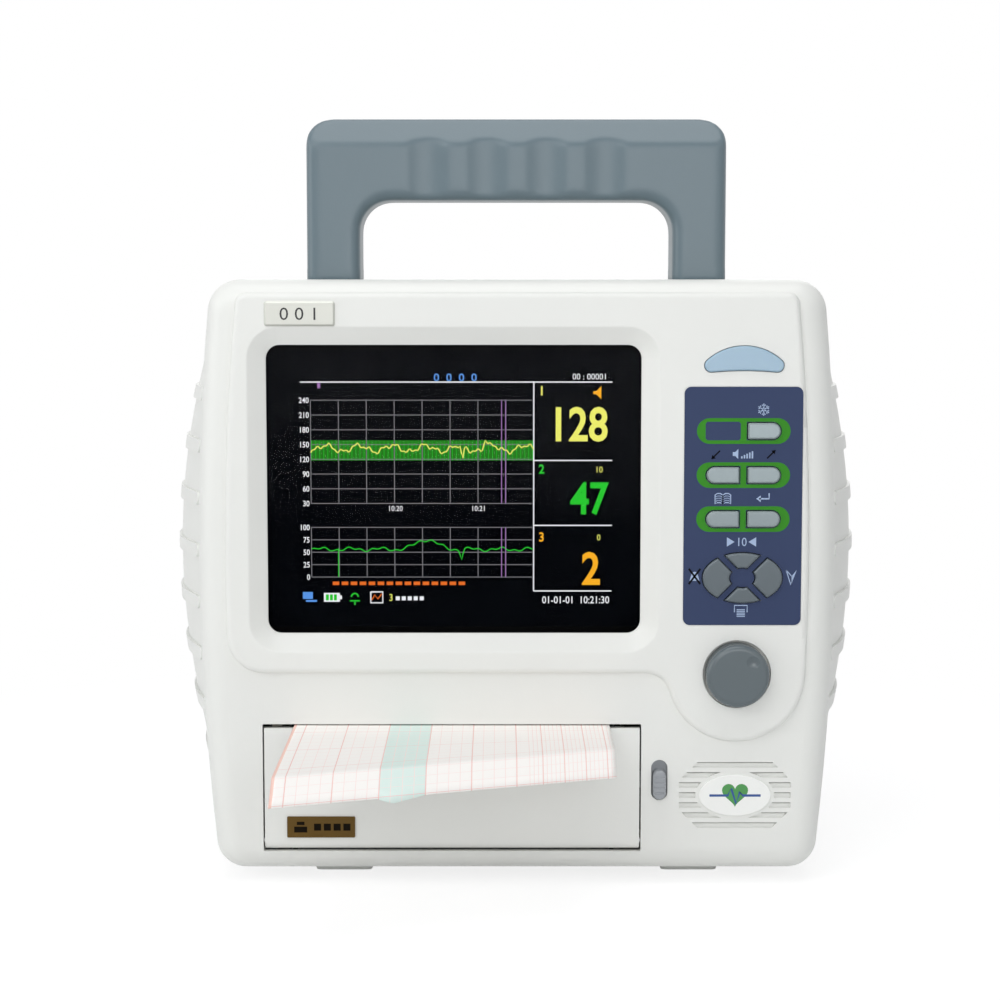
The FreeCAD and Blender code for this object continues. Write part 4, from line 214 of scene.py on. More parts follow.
@dataclass
class Paint:
    """Builds each procedural material once and gives it to pieces."""

    made: dict[str, bpy.types.Material] = field(default_factory=dict)

    def get(self, finish: Finish) -> bpy.types.Material:
        """Material of a finish, built on first use."""
        if finish.name not in self.made:
            self.made[finish.name] = self._build(finish)
        return self.made[finish.name]

    def coat(self, obj: bpy.types.Object, finish: Finish) -> None:
        """Gives one object one finish."""
        obj.data.materials.clear()
        obj.data.materials.append(self.get(finish))

    def _build(self, finish: Finish) -> bpy.types.Material:
        """Node tree of one finish.

        Args:
            finish: What the surface looks like.

        Returns:
            The new material.
        """
        material = bpy.data.materials.new(finish.name)
        material.use_nodes = True
        tree = material.node_tree
        shader = tree.nodes["Principled BSDF"]
        shader.inputs["Base Color"].default_value = linear(finish.colour)
        shader.inputs["Roughness"].default_value = finish.roughness
        shader.inputs["Metallic"].default_value = finish.metallic
        shader.inputs["Specular IOR Level"].default_value = finish.specular
        if finish.surface is Surface.GLOW:
            self._glow(tree, finish)
            return material
        if finish.surface is Surface.CLEAR:
            self._clear(tree)
            return material
        place = tree.nodes.new("ShaderNodeTexCoord")
        stretch = tree.nodes.new("ShaderNodeMapping")
        if finish.surface is Surface.BRUSHED:
            stretch.inputs["Scale"].default_value = BRUSH_STRETCH
        tree.links.new(place.outputs["Object"], stretch.inputs["Vector"])
        grain = tree.nodes.new("ShaderNodeTexNoise")
        grain.inputs["Scale"].default_value = finish.grain
        grain.inputs["Detail"].default_value = GRAIN_DETAIL
        tree.links.new(stretch.outputs["Vector"], grain.inputs["Vector"])
        bump = tree.nodes.new("ShaderNodeBump")
        bump.inputs["Strength"].default_value = finish.relief
        bump.inputs["Distance"].default_value = GRAIN_DEPTH
        tree.links.new(grain.outputs["Fac"], bump.inputs["Height"])
        tree.links.new(bump.outputs["Normal"], shader.inputs["Normal"])
        self._roughen(tree, grain, shader, finish)
        self._mottle(tree, place, shader, finish)
        if finish.surface is Surface.BOARD:
            self._tracks(tree, place, shader, finish)
        if finish.surface is Surface.STACK:
            self._leaves(tree, place, shader, finish)
        if finish.surface is Surface.CHART:
            self._chart(tree, shader, finish)
        if finish.surface is Surface.FROSTED:
            shader.inputs["Subsurface Weight"].default_value = 0.25
            shader.inputs["Subsurface Radius"].default_value = (0.002, 0.002, 0.003)
            shader.inputs["Coat Weight"].default_value = 0.3
        if finish.surface is Surface.SATIN:
            shader.inputs["Coat Weight"].default_value = 0.15
            shader.inputs["Coat Roughness"].default_value = 0.25
        return material

    @staticmethod
    def _glow(tree: bpy.types.NodeTree, finish: Finish) -> None:
        """Lit screen element with a faint dot raster.

        Args:
            tree: Node tree of the material.
            finish: Colour of the light.
        """
        shader = tree.nodes["Principled BSDF"]
        shader.inputs["Base Color"].default_value = (0.0, 0.0, 0.0, 1.0)
        shader.inputs["Specular IOR Level"].default_value = 0.0
        shader.inputs["Emission Strength"].default_value = 1.0
        place = tree.nodes.new("ShaderNodeTexCoord")
        raster = tree.nodes.new("ShaderNodeTexChecker")
        raster.inputs["Scale"].default_value = RASTER_SCALE
        lit = linear(finish.colour)
        raster.inputs["Color1"].default_value = lit
        raster.inputs["Color2"].default_value = shaded(lit, RASTER_DIM)
        tree.links.new(place.outputs["Object"], raster.inputs["Vector"])
        tree.links.new(raster.outputs["Color"], shader.inputs["Emission Color"])

    @staticmethod
    def _clear(tree: bpy.types.NodeTree) -> None:
        """Clear pane that only adds a weak reflection.

        Args:
            tree: Node tree of the material.
        """
        output = tree.nodes["Material Output"]
        through = tree.nodes.new("ShaderNodeBsdfTransparent")
        gloss = tree.nodes.new("ShaderNodeBsdfGlossy")
        gloss.inputs["Roughness"].default_value = PANE_ROUGHNESS
        smear = tree.nodes.new("ShaderNodeTexNoise")
        smear.inputs["Scale"].default_value = SMEAR_SCALE
        share = tree.nodes.new("ShaderNodeMapRange")
        share.inputs["To Min"].default_value = PANE_GLOSS[0]
        share.inputs["To Max"].default_value = PANE_GLOSS[1]
        place = tree.nodes.new("ShaderNodeTexCoord")
        mix = tree.nodes.new("ShaderNodeMixShader")
        tree.links.new(place.outputs["Object"], smear.inputs["Vector"])
        tree.links.new(smear.outputs["Fac"], share.inputs["Value"])
        tree.links.new(share.outputs["Result"], mix.inputs["Fac"])
        tree.links.new(through.outputs["BSDF"], mix.inputs[1])
        tree.links.new(gloss.outputs["BSDF"], mix.inputs[2])
        tree.links.new(mix.outputs["Shader"], output.inputs["Surface"])

    @staticmethod
    def _roughen(tree: bpy.types.NodeTree, grain: bpy.types.Node, shader: bpy.types.Node,
                 finish: Finish) -> None:
        """Lets the roughness follow the fine grain.

        Args:
            tree: Node tree of the material.
            grain: Its fine texture.
            shader: Its surface shader.
            finish: What the surface looks like.
        """
        share = tree.nodes.new("ShaderNodeMapRange")
        share.inputs["To Min"].default_value = max(0.02, finish.roughness - ROUGHNESS_SWING)
        share.inputs["To Max"].default_value = min(1.0, finish.roughness + ROUGHNESS_SWING)
        tree.links.new(grain.outputs["Fac"], share.inputs["Value"])
        tree.links.new(share.outputs["Result"], shader.inputs["Roughness"])

    @staticmethod
    def _blend(tree: bpy.types.NodeTree, a: tuple[float, ...], b: tuple[float, ...]) -> bpy.types.Node:
        """Colour mix node between two colours.

        Args:
            tree: Node tree of the material.
            a: Colour at no share.
            b: Colour at full share.

        Returns:
            The mix node.
        """
        mix = tree.nodes.new("ShaderNodeMix")
        mix.data_type = "RGBA"
        mix.inputs["A"].default_value = a
        mix.inputs["B"].default_value = b
        return mix

    def _mottle(self, tree: bpy.types.NodeTree, place: bpy.types.Node, shader: bpy.types.Node,
                finish: Finish) -> None:
        """Slow, slight change of colour over the surface.

        Args:
            tree: Node tree of the material.
            place: Its coordinates.
            shader: Its surface shader.
            finish: What the surface looks like.
        """
        cloud = tree.nodes.new("ShaderNodeTexNoise")
        cloud.inputs["Scale"].default_value = CLOUD_SCALE
        base = linear(finish.colour)
        mix = self._blend(tree, shaded(base, 1.0 - finish.mottle), shaded(base, 1.0 + finish.mottle))
        tree.links.new(place.outputs["Object"], cloud.inputs["Vector"])
        tree.links.new(cloud.outputs["Fac"], mix.inputs["Factor"])
        tree.links.new(mix.outputs["Result"], shader.inputs["Base Color"])

    def _tracks(self, tree: bpy.types.NodeTree, place: bpy.types.Node, shader: bpy.types.Node,
                finish: Finish) -> None:
        """Lighter copper tracks under the solder mask.

        Args:
            tree: Node tree of the material.
            place: Its coordinates.
            shader: Its surface shader.
            finish: What the surface looks like.
        """
        cells = tree.nodes.new("ShaderNodeTexVoronoi")
        cells.distance = "MANHATTAN"
        cells.inputs["Scale"].default_value = TRACK_SCALE
        edge = tree.nodes.new("ShaderNodeMath")
        edge.operation = "GREATER_THAN"
        edge.inputs[1].default_value = TRACK_EDGE
        base = linear(finish.colour)
        mix = self._blend(tree, base, shaded(base, TRACK_LIGHT))
        tree.links.new(place.outputs["Object"], cells.inputs["Vector"])
        tree.links.new(cells.outputs["Distance"], edge.inputs[0])
        tree.links.new(edge.outputs["Value"], mix.inputs["Factor"])
        tree.links.new(mix.outputs["Result"], shader.inputs["Base Color"])

    def _leaves(self, tree: bpy.types.NodeTree, place: bpy.types.Node, shader: bpy.types.Node,
                finish: Finish) -> None:
        """Thin shadow lines between the leaves of a stack.

        Args:
            tree: Node tree of the material.
            place: Its coordinates.
            shader: Its surface shader.
            finish: What the surface looks like.
        """
        wave = tree.nodes.new("ShaderNodeTexWave")
        wave.bands_direction = "Z"
        wave.inputs["Scale"].default_value = LEAF_SCALE
        base = linear(finish.colour)
        mix = self._blend(tree, shaded(base, LEAF_SHADE), base)
        tree.links.new(place.outputs["Object"], wave.inputs["Vector"])
        tree.links.new(wave.outputs["Fac"], mix.inputs["Factor"])
        tree.links.new(mix.outputs["Result"], shader.inputs["Base Color"])

    def _chart(self, tree: bpy.types.NodeTree, shader: bpy.types.Node, finish: Finish) -> None:
        """Printed chart grid in strip millimetres: fine and bold pink lines and a mint band.

        Args:
            tree: Node tree of the material.
            shader: Its surface shader.
            finish: Paper colour.
        """
        uv = tree.nodes.new("ShaderNodeUVMap")
        uv.uv_map = "strip_mm"
        axes = tree.nodes.new("ShaderNodeSeparateXYZ")
        tree.links.new(uv.outputs["UV"], axes.inputs["Vector"])

        def math_node(kind: str, a: object, b: object) -> bpy.types.NodeSocket:
            """One arithmetic step on sockets or numbers."""
            node = tree.nodes.new("ShaderNodeMath")
            node.operation = kind
            for index, value in enumerate((a, b)):
                if isinstance(value, float):
                    node.inputs[index].default_value = value
                else:
                    tree.links.new(value, node.inputs[index])
            return node.outputs["Value"]

        def lines(socket: bpy.types.NodeSocket, pitch: float, width: float) -> bpy.types.NodeSocket:
            """One where a ruled line runs, else zero."""
            return math_node("LESS_THAN", math_node("MODULO", socket, pitch), width)

        across = axes.outputs["X"]
        along = axes.outputs["Y"]
        ruling = ChartRuling()
        right = math_node("GREATER_THAN", across, ruling.seam)
        left = math_node("SUBTRACT", 1.0, right)

        def weave(wide: tuple[float, float, float], close: tuple[float, float],
                  rows: tuple[float, float]) -> bpy.types.NodeSocket:
            """Lines of both rulings and the cross lines in one weight."""
            shift, pitch, width = wide
            wide_lines = math_node("MULTIPLY", left, lines(math_node("ADD", across, shift), pitch, width))
            close_lines = math_node("MULTIPLY", right, lines(across, *close))
            return math_node("MAXIMUM", math_node("MAXIMUM", wide_lines, close_lines), lines(along, *rows))

        fine = weave(ruling.wide, ruling.close, ruling.rows)
        bold = weave(ruling.wide_bold, ruling.close_bold, ruling.rows_bold)
        band = math_node("MULTIPLY", math_node("GREATER_THAN", across, ruling.band[0]),
                         math_node("LESS_THAN", across, ruling.band[1]))
        edge = math_node("LESS_THAN", across, ruling.edge)
        paper = linear(finish.colour)
        layers = ((band, ruling.band_ink), (fine, ruling.fine_ink), (bold, ruling.bold_ink), (edge, ruling.edge_ink))
        below = None
        for share, colour in layers:
            mix = self._blend(tree, paper, linear(colour))
            tree.links.new(share, mix.inputs["Factor"])
            if below is not None:
                tree.links.new(below, mix.inputs["A"])
            below = mix.outputs["Result"]
        tree.links.new(below, shader.inputs["Base Color"])


class Drawing:
    """Flat shapes of one colour on an upright plane, gathered into one mesh."""

    def __init__(self, y: float) -> None:
        """Starts an empty drawing on the plane at this y, in metres."""
        self.y = y
        self.mesh = bmesh.new()

    def polygon(self, points: Sequence[Point]) -> None:
        """Filled outline, which faces the front.

        Args:
            points: Corners as (x, z).
        """
        area = sum(a[0] * b[1] - b[0] * a[1] for a, b in zip(points, list(points[1:]) + [points[0]]))
        ordered = points if area > 0 else list(reversed(points))
        self.mesh.faces.new([self.mesh.verts.new((x, self.y, z)) for x, z in ordered])

    def bar(self, x0: float, x1: float, z0: float, z1: float) -> None:
        """Filled rectangle."""
        self.polygon([(x0, z0), (x1, z0), (x1, z1), (x0, z1)])

    def stroke(self, points: Sequence[Point], width: float) -> None:
        """Line of even width.

        Args:
            points: Places that it runs through, as (x, z).
            width: Width of the line.
        """
        sides: list[tuple[Point, Point]] = []
        for i, (x, z) in enumerate(points):
            ahead = points[min(i + 1, len(points) - 1)]
            behind = points[max(i - 1, 0)]
            run = Vector((ahead[0] - behind[0], ahead[1] - behind[1])).normalized() * width / 2
            sides.append(((x - run.y, z + run.x), (x + run.y, z - run.x)))
        for (a, b), (c, d) in zip(sides, sides[1:]):
            self.polygon([b, d, c, a])

    def arch(self, x: float, z: float, radius: float, width: float) -> None:
        """Upper half of a circle line.

        Args:
            x: Middle across.
            z: Height of the middle.
            radius: Radius of the line's middle.
            width: Width of the line.
        """
        steps = 24
        angles = [math.radians(180 * i / steps) for i in range(steps + 1)]
        self.stroke([(x + radius * math.cos(a), z + radius * math.sin(a)) for a in angles], width)

    def text(self, words: str, x: float, z: float, size: float, squeeze: float = 1.0, align: str = "LEFT",
             bold: float = 0.0) -> None:
        """Number set as flat mesh.

        Args:
            words: What to set.
            x: Anchor across.
            z: Foot of the figures.
            size: Height of the type.
            squeeze: Width as a share of the usual one.
            align: LEFT, CENTER or RIGHT.
            bold: Growth of the strokes.
        """
        curve = bpy.data.curves.new("figures", "FONT")
        curve.body = words
        curve.align_x = align
        curve.offset = bold
        curve.resolution_u = 3
        holder = bpy.data.objects.new("figures", curve)
        flat = bpy.data.meshes.new_from_object(holder)
        flat.transform(Matrix.Translation((x, self.y, z)) @ Matrix.Rotation(math.pi / 2, 4, "X")
                       @ Matrix.Diagonal((size * squeeze, size, size, 1.0)))
        self.mesh.from_mesh(flat)
        bpy.data.meshes.remove(flat)
        bpy.data.objects.remove(holder)
        bpy.data.curves.remove(curve)

    def holed(self, outer: Sequence[Point], holes: Iterable[Sequence[Point]]) -> None:
        """Filled outline with holes.

        Args:
            outer: The outline as (x, z).
            holes: Outlines of the holes.
        """
        edges = []
        for loop in [outer, *holes]:
            verts = [self.mesh.verts.new((x, self.y, z)) for x, z in loop]
            edges += [self.mesh.edges.new((a, b)) for a, b in zip(verts, verts[1:] + verts[:1])]
        bmesh.ops.triangle_fill(self.mesh, edges=edges, use_beauty=True, use_dissolve=False, normal=(0, -1, 0))

    def finish(self, name: str, paint: Paint, finish: Finish, body: str, slot: str) -> bpy.types.Object:
        """Makes the object, paints it and lets it ride on a body.

        Args:
            name: Name of the piece.
            paint: Where its material comes from.
            finish: Its finish.
            body: Body that carries it.
            slot: Not used.

        Returns:
            The new object.
        """
        bmesh.ops.recalc_face_normals(self.mesh, faces=self.mesh.faces)
        for face in self.mesh.faces:
            if face.normal.y > 0:
                face.normal_flip()
        obj = place_mesh(name, self.mesh)
        paint.coat(obj, finish)
        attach(obj, body)
        LOG.info("%s: %d faces", name, len(obj.data.polygons))
        return obj


def place_mesh(name: str, mesh: bmesh.types.BMesh) -> bpy.types.Object:
    """Object at the origin from a finished bmesh, which is freed.

    Args:
        name: Name of the piece.
        mesh: Its shape, in place.

    Returns:
        The new object.
    """
    data = bpy.data.meshes.new(name)
    mesh.to_mesh(data)
    mesh.free()
    obj = bpy.data.objects.new(name, data)
    bpy.context.scene.collection.objects.link(obj)
    return obj


def stadium(x: float, z: float, half_w: float, half_h: float, steps: int = 12) -> list[Point]:
    """Outline with two round ends.

    Args:
        x: Middle across.
        z: Height of the middle.
        half_w: Half the width.
        half_h: Half the height.
        steps: Parts of each round end.

    Returns:
        Corners in order.
    """
    points: list[Point] = []
    for side, start in ((1, -90), (-1, 90)):
        for i in range(steps + 1):
            angle = math.radians(start + 180 * i / steps)
            points.append((x + side * (half_w - half_h) + half_h * math.cos(angle), z + half_h * math.sin(angle)))
    return points


def d_shape(x: float, z: float, side: int, half_w: float, half_h: float, steps: int = 10) -> list[Point]:
    """Outline that is round at one end and square at the other.

    Args:
        x: Middle across.
        z: Height of the middle.
        side: 1 where the right end is round, -1 where the left one is.
        half_w: Half the width.
        half_h: Half the height.
        steps: Parts of each round end.

    Returns:
        Corners in order.
    """
    points: list[Point] = []
    for i in range(steps + 1):
        angle = math.radians(-90 + 180 * i / steps)
        points.append((x + side * (half_w - half_h + half_h * math.cos(angle)), z + half_h * math.sin(angle)))
    points += [(x - side * half_w, z + half_h), (x - side * half_w, z - half_h)]
    return points


def middle(node: str) -> Vector:
    """Centre of a CAD node at rest."""
    low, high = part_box(node)
    return (Vector(low) + Vector(high)) / 2


@dataclass
class Casework:
    """Finishes of every CAD piece that shows."""

    paint: Paint

    def build(self, nodes: dict[str, bpy.types.Object]) -> None:
        """Coats each node.

        Args:
            nodes: The CAD objects by name.
        """
        for name, obj in nodes.items():
            finish = NODE_FINISH.get(name, KEY if name.startswith("key_") else HOUSING)
            self.paint.coat(obj, finish)
            LOG.info("%s: %s", name, finish.name)


@dataclass
class SoftHandle:
    """Carrying handle with the softly rounded edges of its moulding, made over its CAD solid. Sizes are millimetres.

    Attributes:
        grid: Spacing of the points of the even skin.
        passes: How often the skin is smoothed.
        foot: Height above the case that keeps its crisp edges.
    """

    paint: Paint
    grid: float = 1.0
    passes: int = 6
    foot: float = 4.0

    def build(self, node: bpy.types.Object) -> None:
        """Makes the soft skin and lets it take the node's place.

        Args:
            node: The handle's CAD node.
        """
        data = node.data.copy()
        data.transform(node.matrix_world)
        holder = bpy.data.objects.new("handle_blank", data)
        bpy.context.scene.collection.objects.link(holder)
        even = holder.modifiers.new("even", "REMESH")
        even.mode = "VOXEL"
        even.voxel_size = self.grid * MM
        skin = bpy.data.meshes.new_from_object(holder.evaluated_get(bpy.context.evaluated_depsgraph_get()))
        bpy.data.objects.remove(holder)
        bpy.data.meshes.remove(data)
        mesh = bmesh.new()
        mesh.from_mesh(skin)
        bpy.data.meshes.remove(skin)
        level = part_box("carry_handle")[0][2] + self.foot * MM
        soft = [vert for vert in mesh.verts if vert.co.z > level]
        for _ in range(self.passes):
            bmesh.ops.smooth_vert(mesh, verts=soft, factor=0.5, use_axis_x=True, use_axis_y=True, use_axis_z=True)
        for face in mesh.faces:
            face.smooth = True
        handle = place_mesh("soft_handle", mesh)
        self.paint.coat(handle, HANDLE)
        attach(handle, "case")
        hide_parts("carry_handle")
        LOG.info("soft_handle: %d faces", len(handle.data.polygons))


@dataclass
class Screen:
    """Picture on the display: two scrolling graphs, figures and a row of signs.

    Places are counted in screen steps from the upper left corner of the window.

    Attributes:
        step: Size of one screen step, in metres.
        lap: How far the window's edge overlaps the picture, in metres.
        graph: Left and right end of both graphs.
        columns: Grid columns of each graph.
        trace_pitch: Distance of the points of a trace.
        cursor: Places of the cursor's two lines.
        type_share: Height of a figure as a share of its type size.
    """

    paint: Paint
    step: float = 0.366 * MM
    lap: float = 3.0 * MM
    graph: tuple[float, float] = (43.0, 265.0)
    columns: int = 8
    trace_pitch: float = 1.5
    cursor: tuple[float, float] = (233.0, 237.0)
    type_share: float = 0.70
    layers: dict[str, Drawing] = field(default_factory=dict)
    inks: dict[str, Finish] = field(default_factory=lambda: {
        "band": Finish("lit_band", (38, 120, 30), Surface.GLOW),
        "grid": Finish("lit_grid", (112, 112, 116), Surface.GLOW),
        "white": Finish("lit_white", (240, 242, 246), Surface.GLOW),
        "green": Finish("lit_green", (40, 200, 48), Surface.GLOW),
        "violet": Finish("lit_violet", (150, 110, 170), Surface.GLOW),
        "yellow": Finish("lit_yellow", (240, 240, 110), Surface.GLOW),
        "amber": Finish("lit_amber", (250, 178, 40), Surface.GLOW),
        "orange": Finish("lit_orange", (230, 110, 40), Surface.GLOW),
        "blue": Finish("lit_blue", (90, 150, 230), Surface.GLOW),
    })

    def build(self) -> None:
        """Draws the whole picture just in front of the display module."""
        low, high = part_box("display_window")
        self.left = low[0] + self.lap
        self.top = high[2] - self.lap
        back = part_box("lcd_module")[0][1]
        for i, name in enumerate(self.inks):
            self.layers[name] = Drawing(back - (0.04 + 0.03 * i) * MM)
        self._frame()
        self._upper_graph()
        self._lower_graph()
        self._figures()
        self._signs()
        for name, layer in self.layers.items():
            layer.finish("screen_" + name, self.paint, self.inks[name], "case", "lcd")

    def spot(self, u: float, v: float) -> Point:
        """Place on the display plane."""
        return self.left + u * self.step, self.top - v * self.step

    def draw(self, ink: str, points: Sequence[Point], width: float = 1.0) -> None:
        """Line through places in screen steps."""
        self.layers[ink].stroke([self.spot(u, v) for u, v in points], width * self.step)

    def fill(self, ink: str, u0: float, v0: float, u1: float, v1: float) -> None:
        """Filled rectangle in screen steps.

        Args:
            ink: Which colour.
            u0: Left edge.
            v0: Upper edge.
            u1: Right edge.
            v1: Lower edge.
        """
        x0, z1 = self.spot(u0, v0)
        x1, z0 = self.spot(u1, v1)
        self.layers[ink].bar(x0, x1, z0, z1)

    def put(self, ink: str, words: str, u: float, v: float, tall: float, squeeze: float = 1.0, align: str = "LEFT",
            bold: float = 0.0) -> None:
        """Number whose figures are so many steps tall and stand on v."""
        x, z = self.spot(u, v)
        self.layers[ink].text(words, x, z, tall / self.type_share * self.step, squeeze, align, bold)

    def _frame(self) -> None:
        """White lines of the header and the right column."""
        self.draw("white", [(33, 37), (343, 37)], 1.2)
        right = self.graph[1]
        self.draw("white", [(right, 37), (right, 246)], 1.2)
        for v in (115, 180, 246):
            self.draw("white", [(right, v), (343, v)], 1.2)
        self.put("blue", "0  0  0  0", 187, 36, 7.5, 1.1, "CENTER", 0.01)
        self.put("white", "00 : 00001", 338, 34.5, 6, 0.95, "RIGHT")

    def _grid(self, v0: float, v1: float, rows: int, labels: Sequence[int]) -> None:
        """Grid with its scale on the left.

        Args:
            v0: Upper edge.
            v1: Lower edge.
            rows: Number of rows.
            labels: Scale from the top down.
        """
        left, right = self.graph
        for i in range(self.columns + 1):
            u = left + (right - left) * i / self.columns
            self.draw("grid", [(u, v0), (u, v1)], 0.9)
        for i in range(rows + 1):
            v = v0 + (v1 - v0) * i / rows
            self.draw("grid", [(left, v), (right, v)], 0.9)
            self.put("white", str(labels[i]), left - 1.5, v + 2.8, 5.6, 0.85, "RIGHT", 0.01)

    def _trace(self, ink: str, width: float, level: Callable[[float], float]) -> None:
        """Curve across a graph.

        Args:
            ink: Which colour.
            width: Width of the line.
            level: Height of the curve at each place across.
        """
        left, right = self.graph
        count = int((right - left) / self.trace_pitch) + 1
        across = [left + i * self.trace_pitch for i in range(count)]
        self.draw(ink, [(u, level(u)) for u in across], width)

    def _cursor(self, v0: float, v1: float) -> None:
        """Both lines of the cursor over one graph."""
        for u in self.cursor:
            self.draw("violet", [(u, v0), (u, v1)], 0.9)

    def _upper_graph(self) -> None:
        """Rate graph with its normal band, trace and cursor."""
        top, foot = 55, 158
        normal = (95, 115)

        def level(u: float) -> float:
            """Wavy line with one deep dip and one peak."""
            waves = 103 + 3.2 * math.sin(u * 0.19) + 1.8 * math.sin(u * 0.47 + 1.0) + 1.1 * math.sin(u * 1.1)
            dip = 15.0 * math.exp(-((u - 194.0) / 1.4) ** 2)
            return waves + dip - 8.0 * math.exp(-((u - 217.0) / 2.0) ** 2)

        self.fill("band", self.graph[0], normal[0], self.graph[1], normal[1])
        for u in range(44, 265, 4):
            self.draw("green", [(u, normal[0]), (u, normal[1])], 0.5)
        self._grid(top, foot, 7, (240, 210, 180, 150, 120, 90, 60, 30))
        self._trace("yellow", 1.1, level)
        self._cursor(top, foot)
        self.fill("violet", 50, 37.5, 53, 43)
        for u, words in ((127, "10:20"), (210, "10:21")):
            self.put("white", words, u, 165.5, 5.2, 0.9, "CENTER")

    def _lower_graph(self) -> None:
        """Pressure graph with its trace."""
        top, foot = 182, 232

        def level(u: float) -> float:
            """Gentle waves with one hill and one dip."""
            waves = 204 + 1.4 * math.sin(u * 0.21) + 1.0 * math.sin(u * 0.53)
            hill = 10.0 * math.exp(-((u - 158.0) / 14.0) ** 2)
            return waves - hill + 9.0 * math.exp(-((u - 193.0) / 1.6) ** 2)

        self._grid(top, foot, 4, (100, 75, 50, 25, 0))
        self._trace("green", 1.0, level)
        self.draw("green", [(70, 203), (70, foot)], 0.9)
        self._cursor(top, foot)

    def _figures(self) -> None:
        """Large figures of the right column with their small signs."""
        rows = (("yellow", "1", 50, "128", 339, 95, 33), ("green", "2", 128, "47", 339, 168, 31),
                ("amber", "3", 196, "2", 332, 239, 32))
        for ink, number, head, figures, right, foot, tall in rows:
            self.put(ink, number, 270, head, 9, 0.9, "LEFT", 0.02)
            self.put(ink, figures, right, foot, tall, 0.84, "RIGHT", 0.02)
        self.put("yellow", "10", 330, 127, 6, 0.9, "CENTER")
        self.put("yellow", "0", 330, 195, 6, 0.9, "CENTER")
        speaker = ((324, 46), (327, 46), (332, 41), (332, 54), (327, 49), (324, 49))
        self.layers["amber"].polygon([self.spot(u, v) for u, v in speaker])

    def _signs(self) -> None:
        """Status row along the foot: small signs and plain numbers."""
        for u in range(64, 196, 9):
            self.fill("orange", u, 236.5, u + 6.5, 240)
        self.fill("blue", 34, 247, 44, 254)
        self.fill("blue", 37, 255, 48, 257)
        self.fill("white", 55, 248, 71, 257)
        self.fill("white", 71, 250.5, 73, 254.5)
        for u in (57, 61, 65):
            self.fill("green", u, 249.5, u + 3, 255.5)
        x, z = self.spot(86, 252)
        self.layers["green"].arch(x, z, 3.4 * self.step, 1.4 * self.step)
        self.draw("green", [(81, 256), (91, 256)], 1.4)
        self.draw("green", [(86, 257), (86, 260)], 1.6)
        self.draw("white", [(102, 247), (114, 247), (114, 258), (102, 258), (102, 247)], 1.4)
        self.draw("orange", [(103, 255), (106, 250), (109, 254), (113, 249)], 1.2)
        self.put("yellow", "3", 120, 256, 7, 0.9)
        for u in range(127, 152, 6):
            self.fill("white", u, 251.5, u + 4, 255.5)
        self.put("white", "01-01-01  10:21:30", 341, 258.5, 7.2, 0.86, "RIGHT", 0.008)


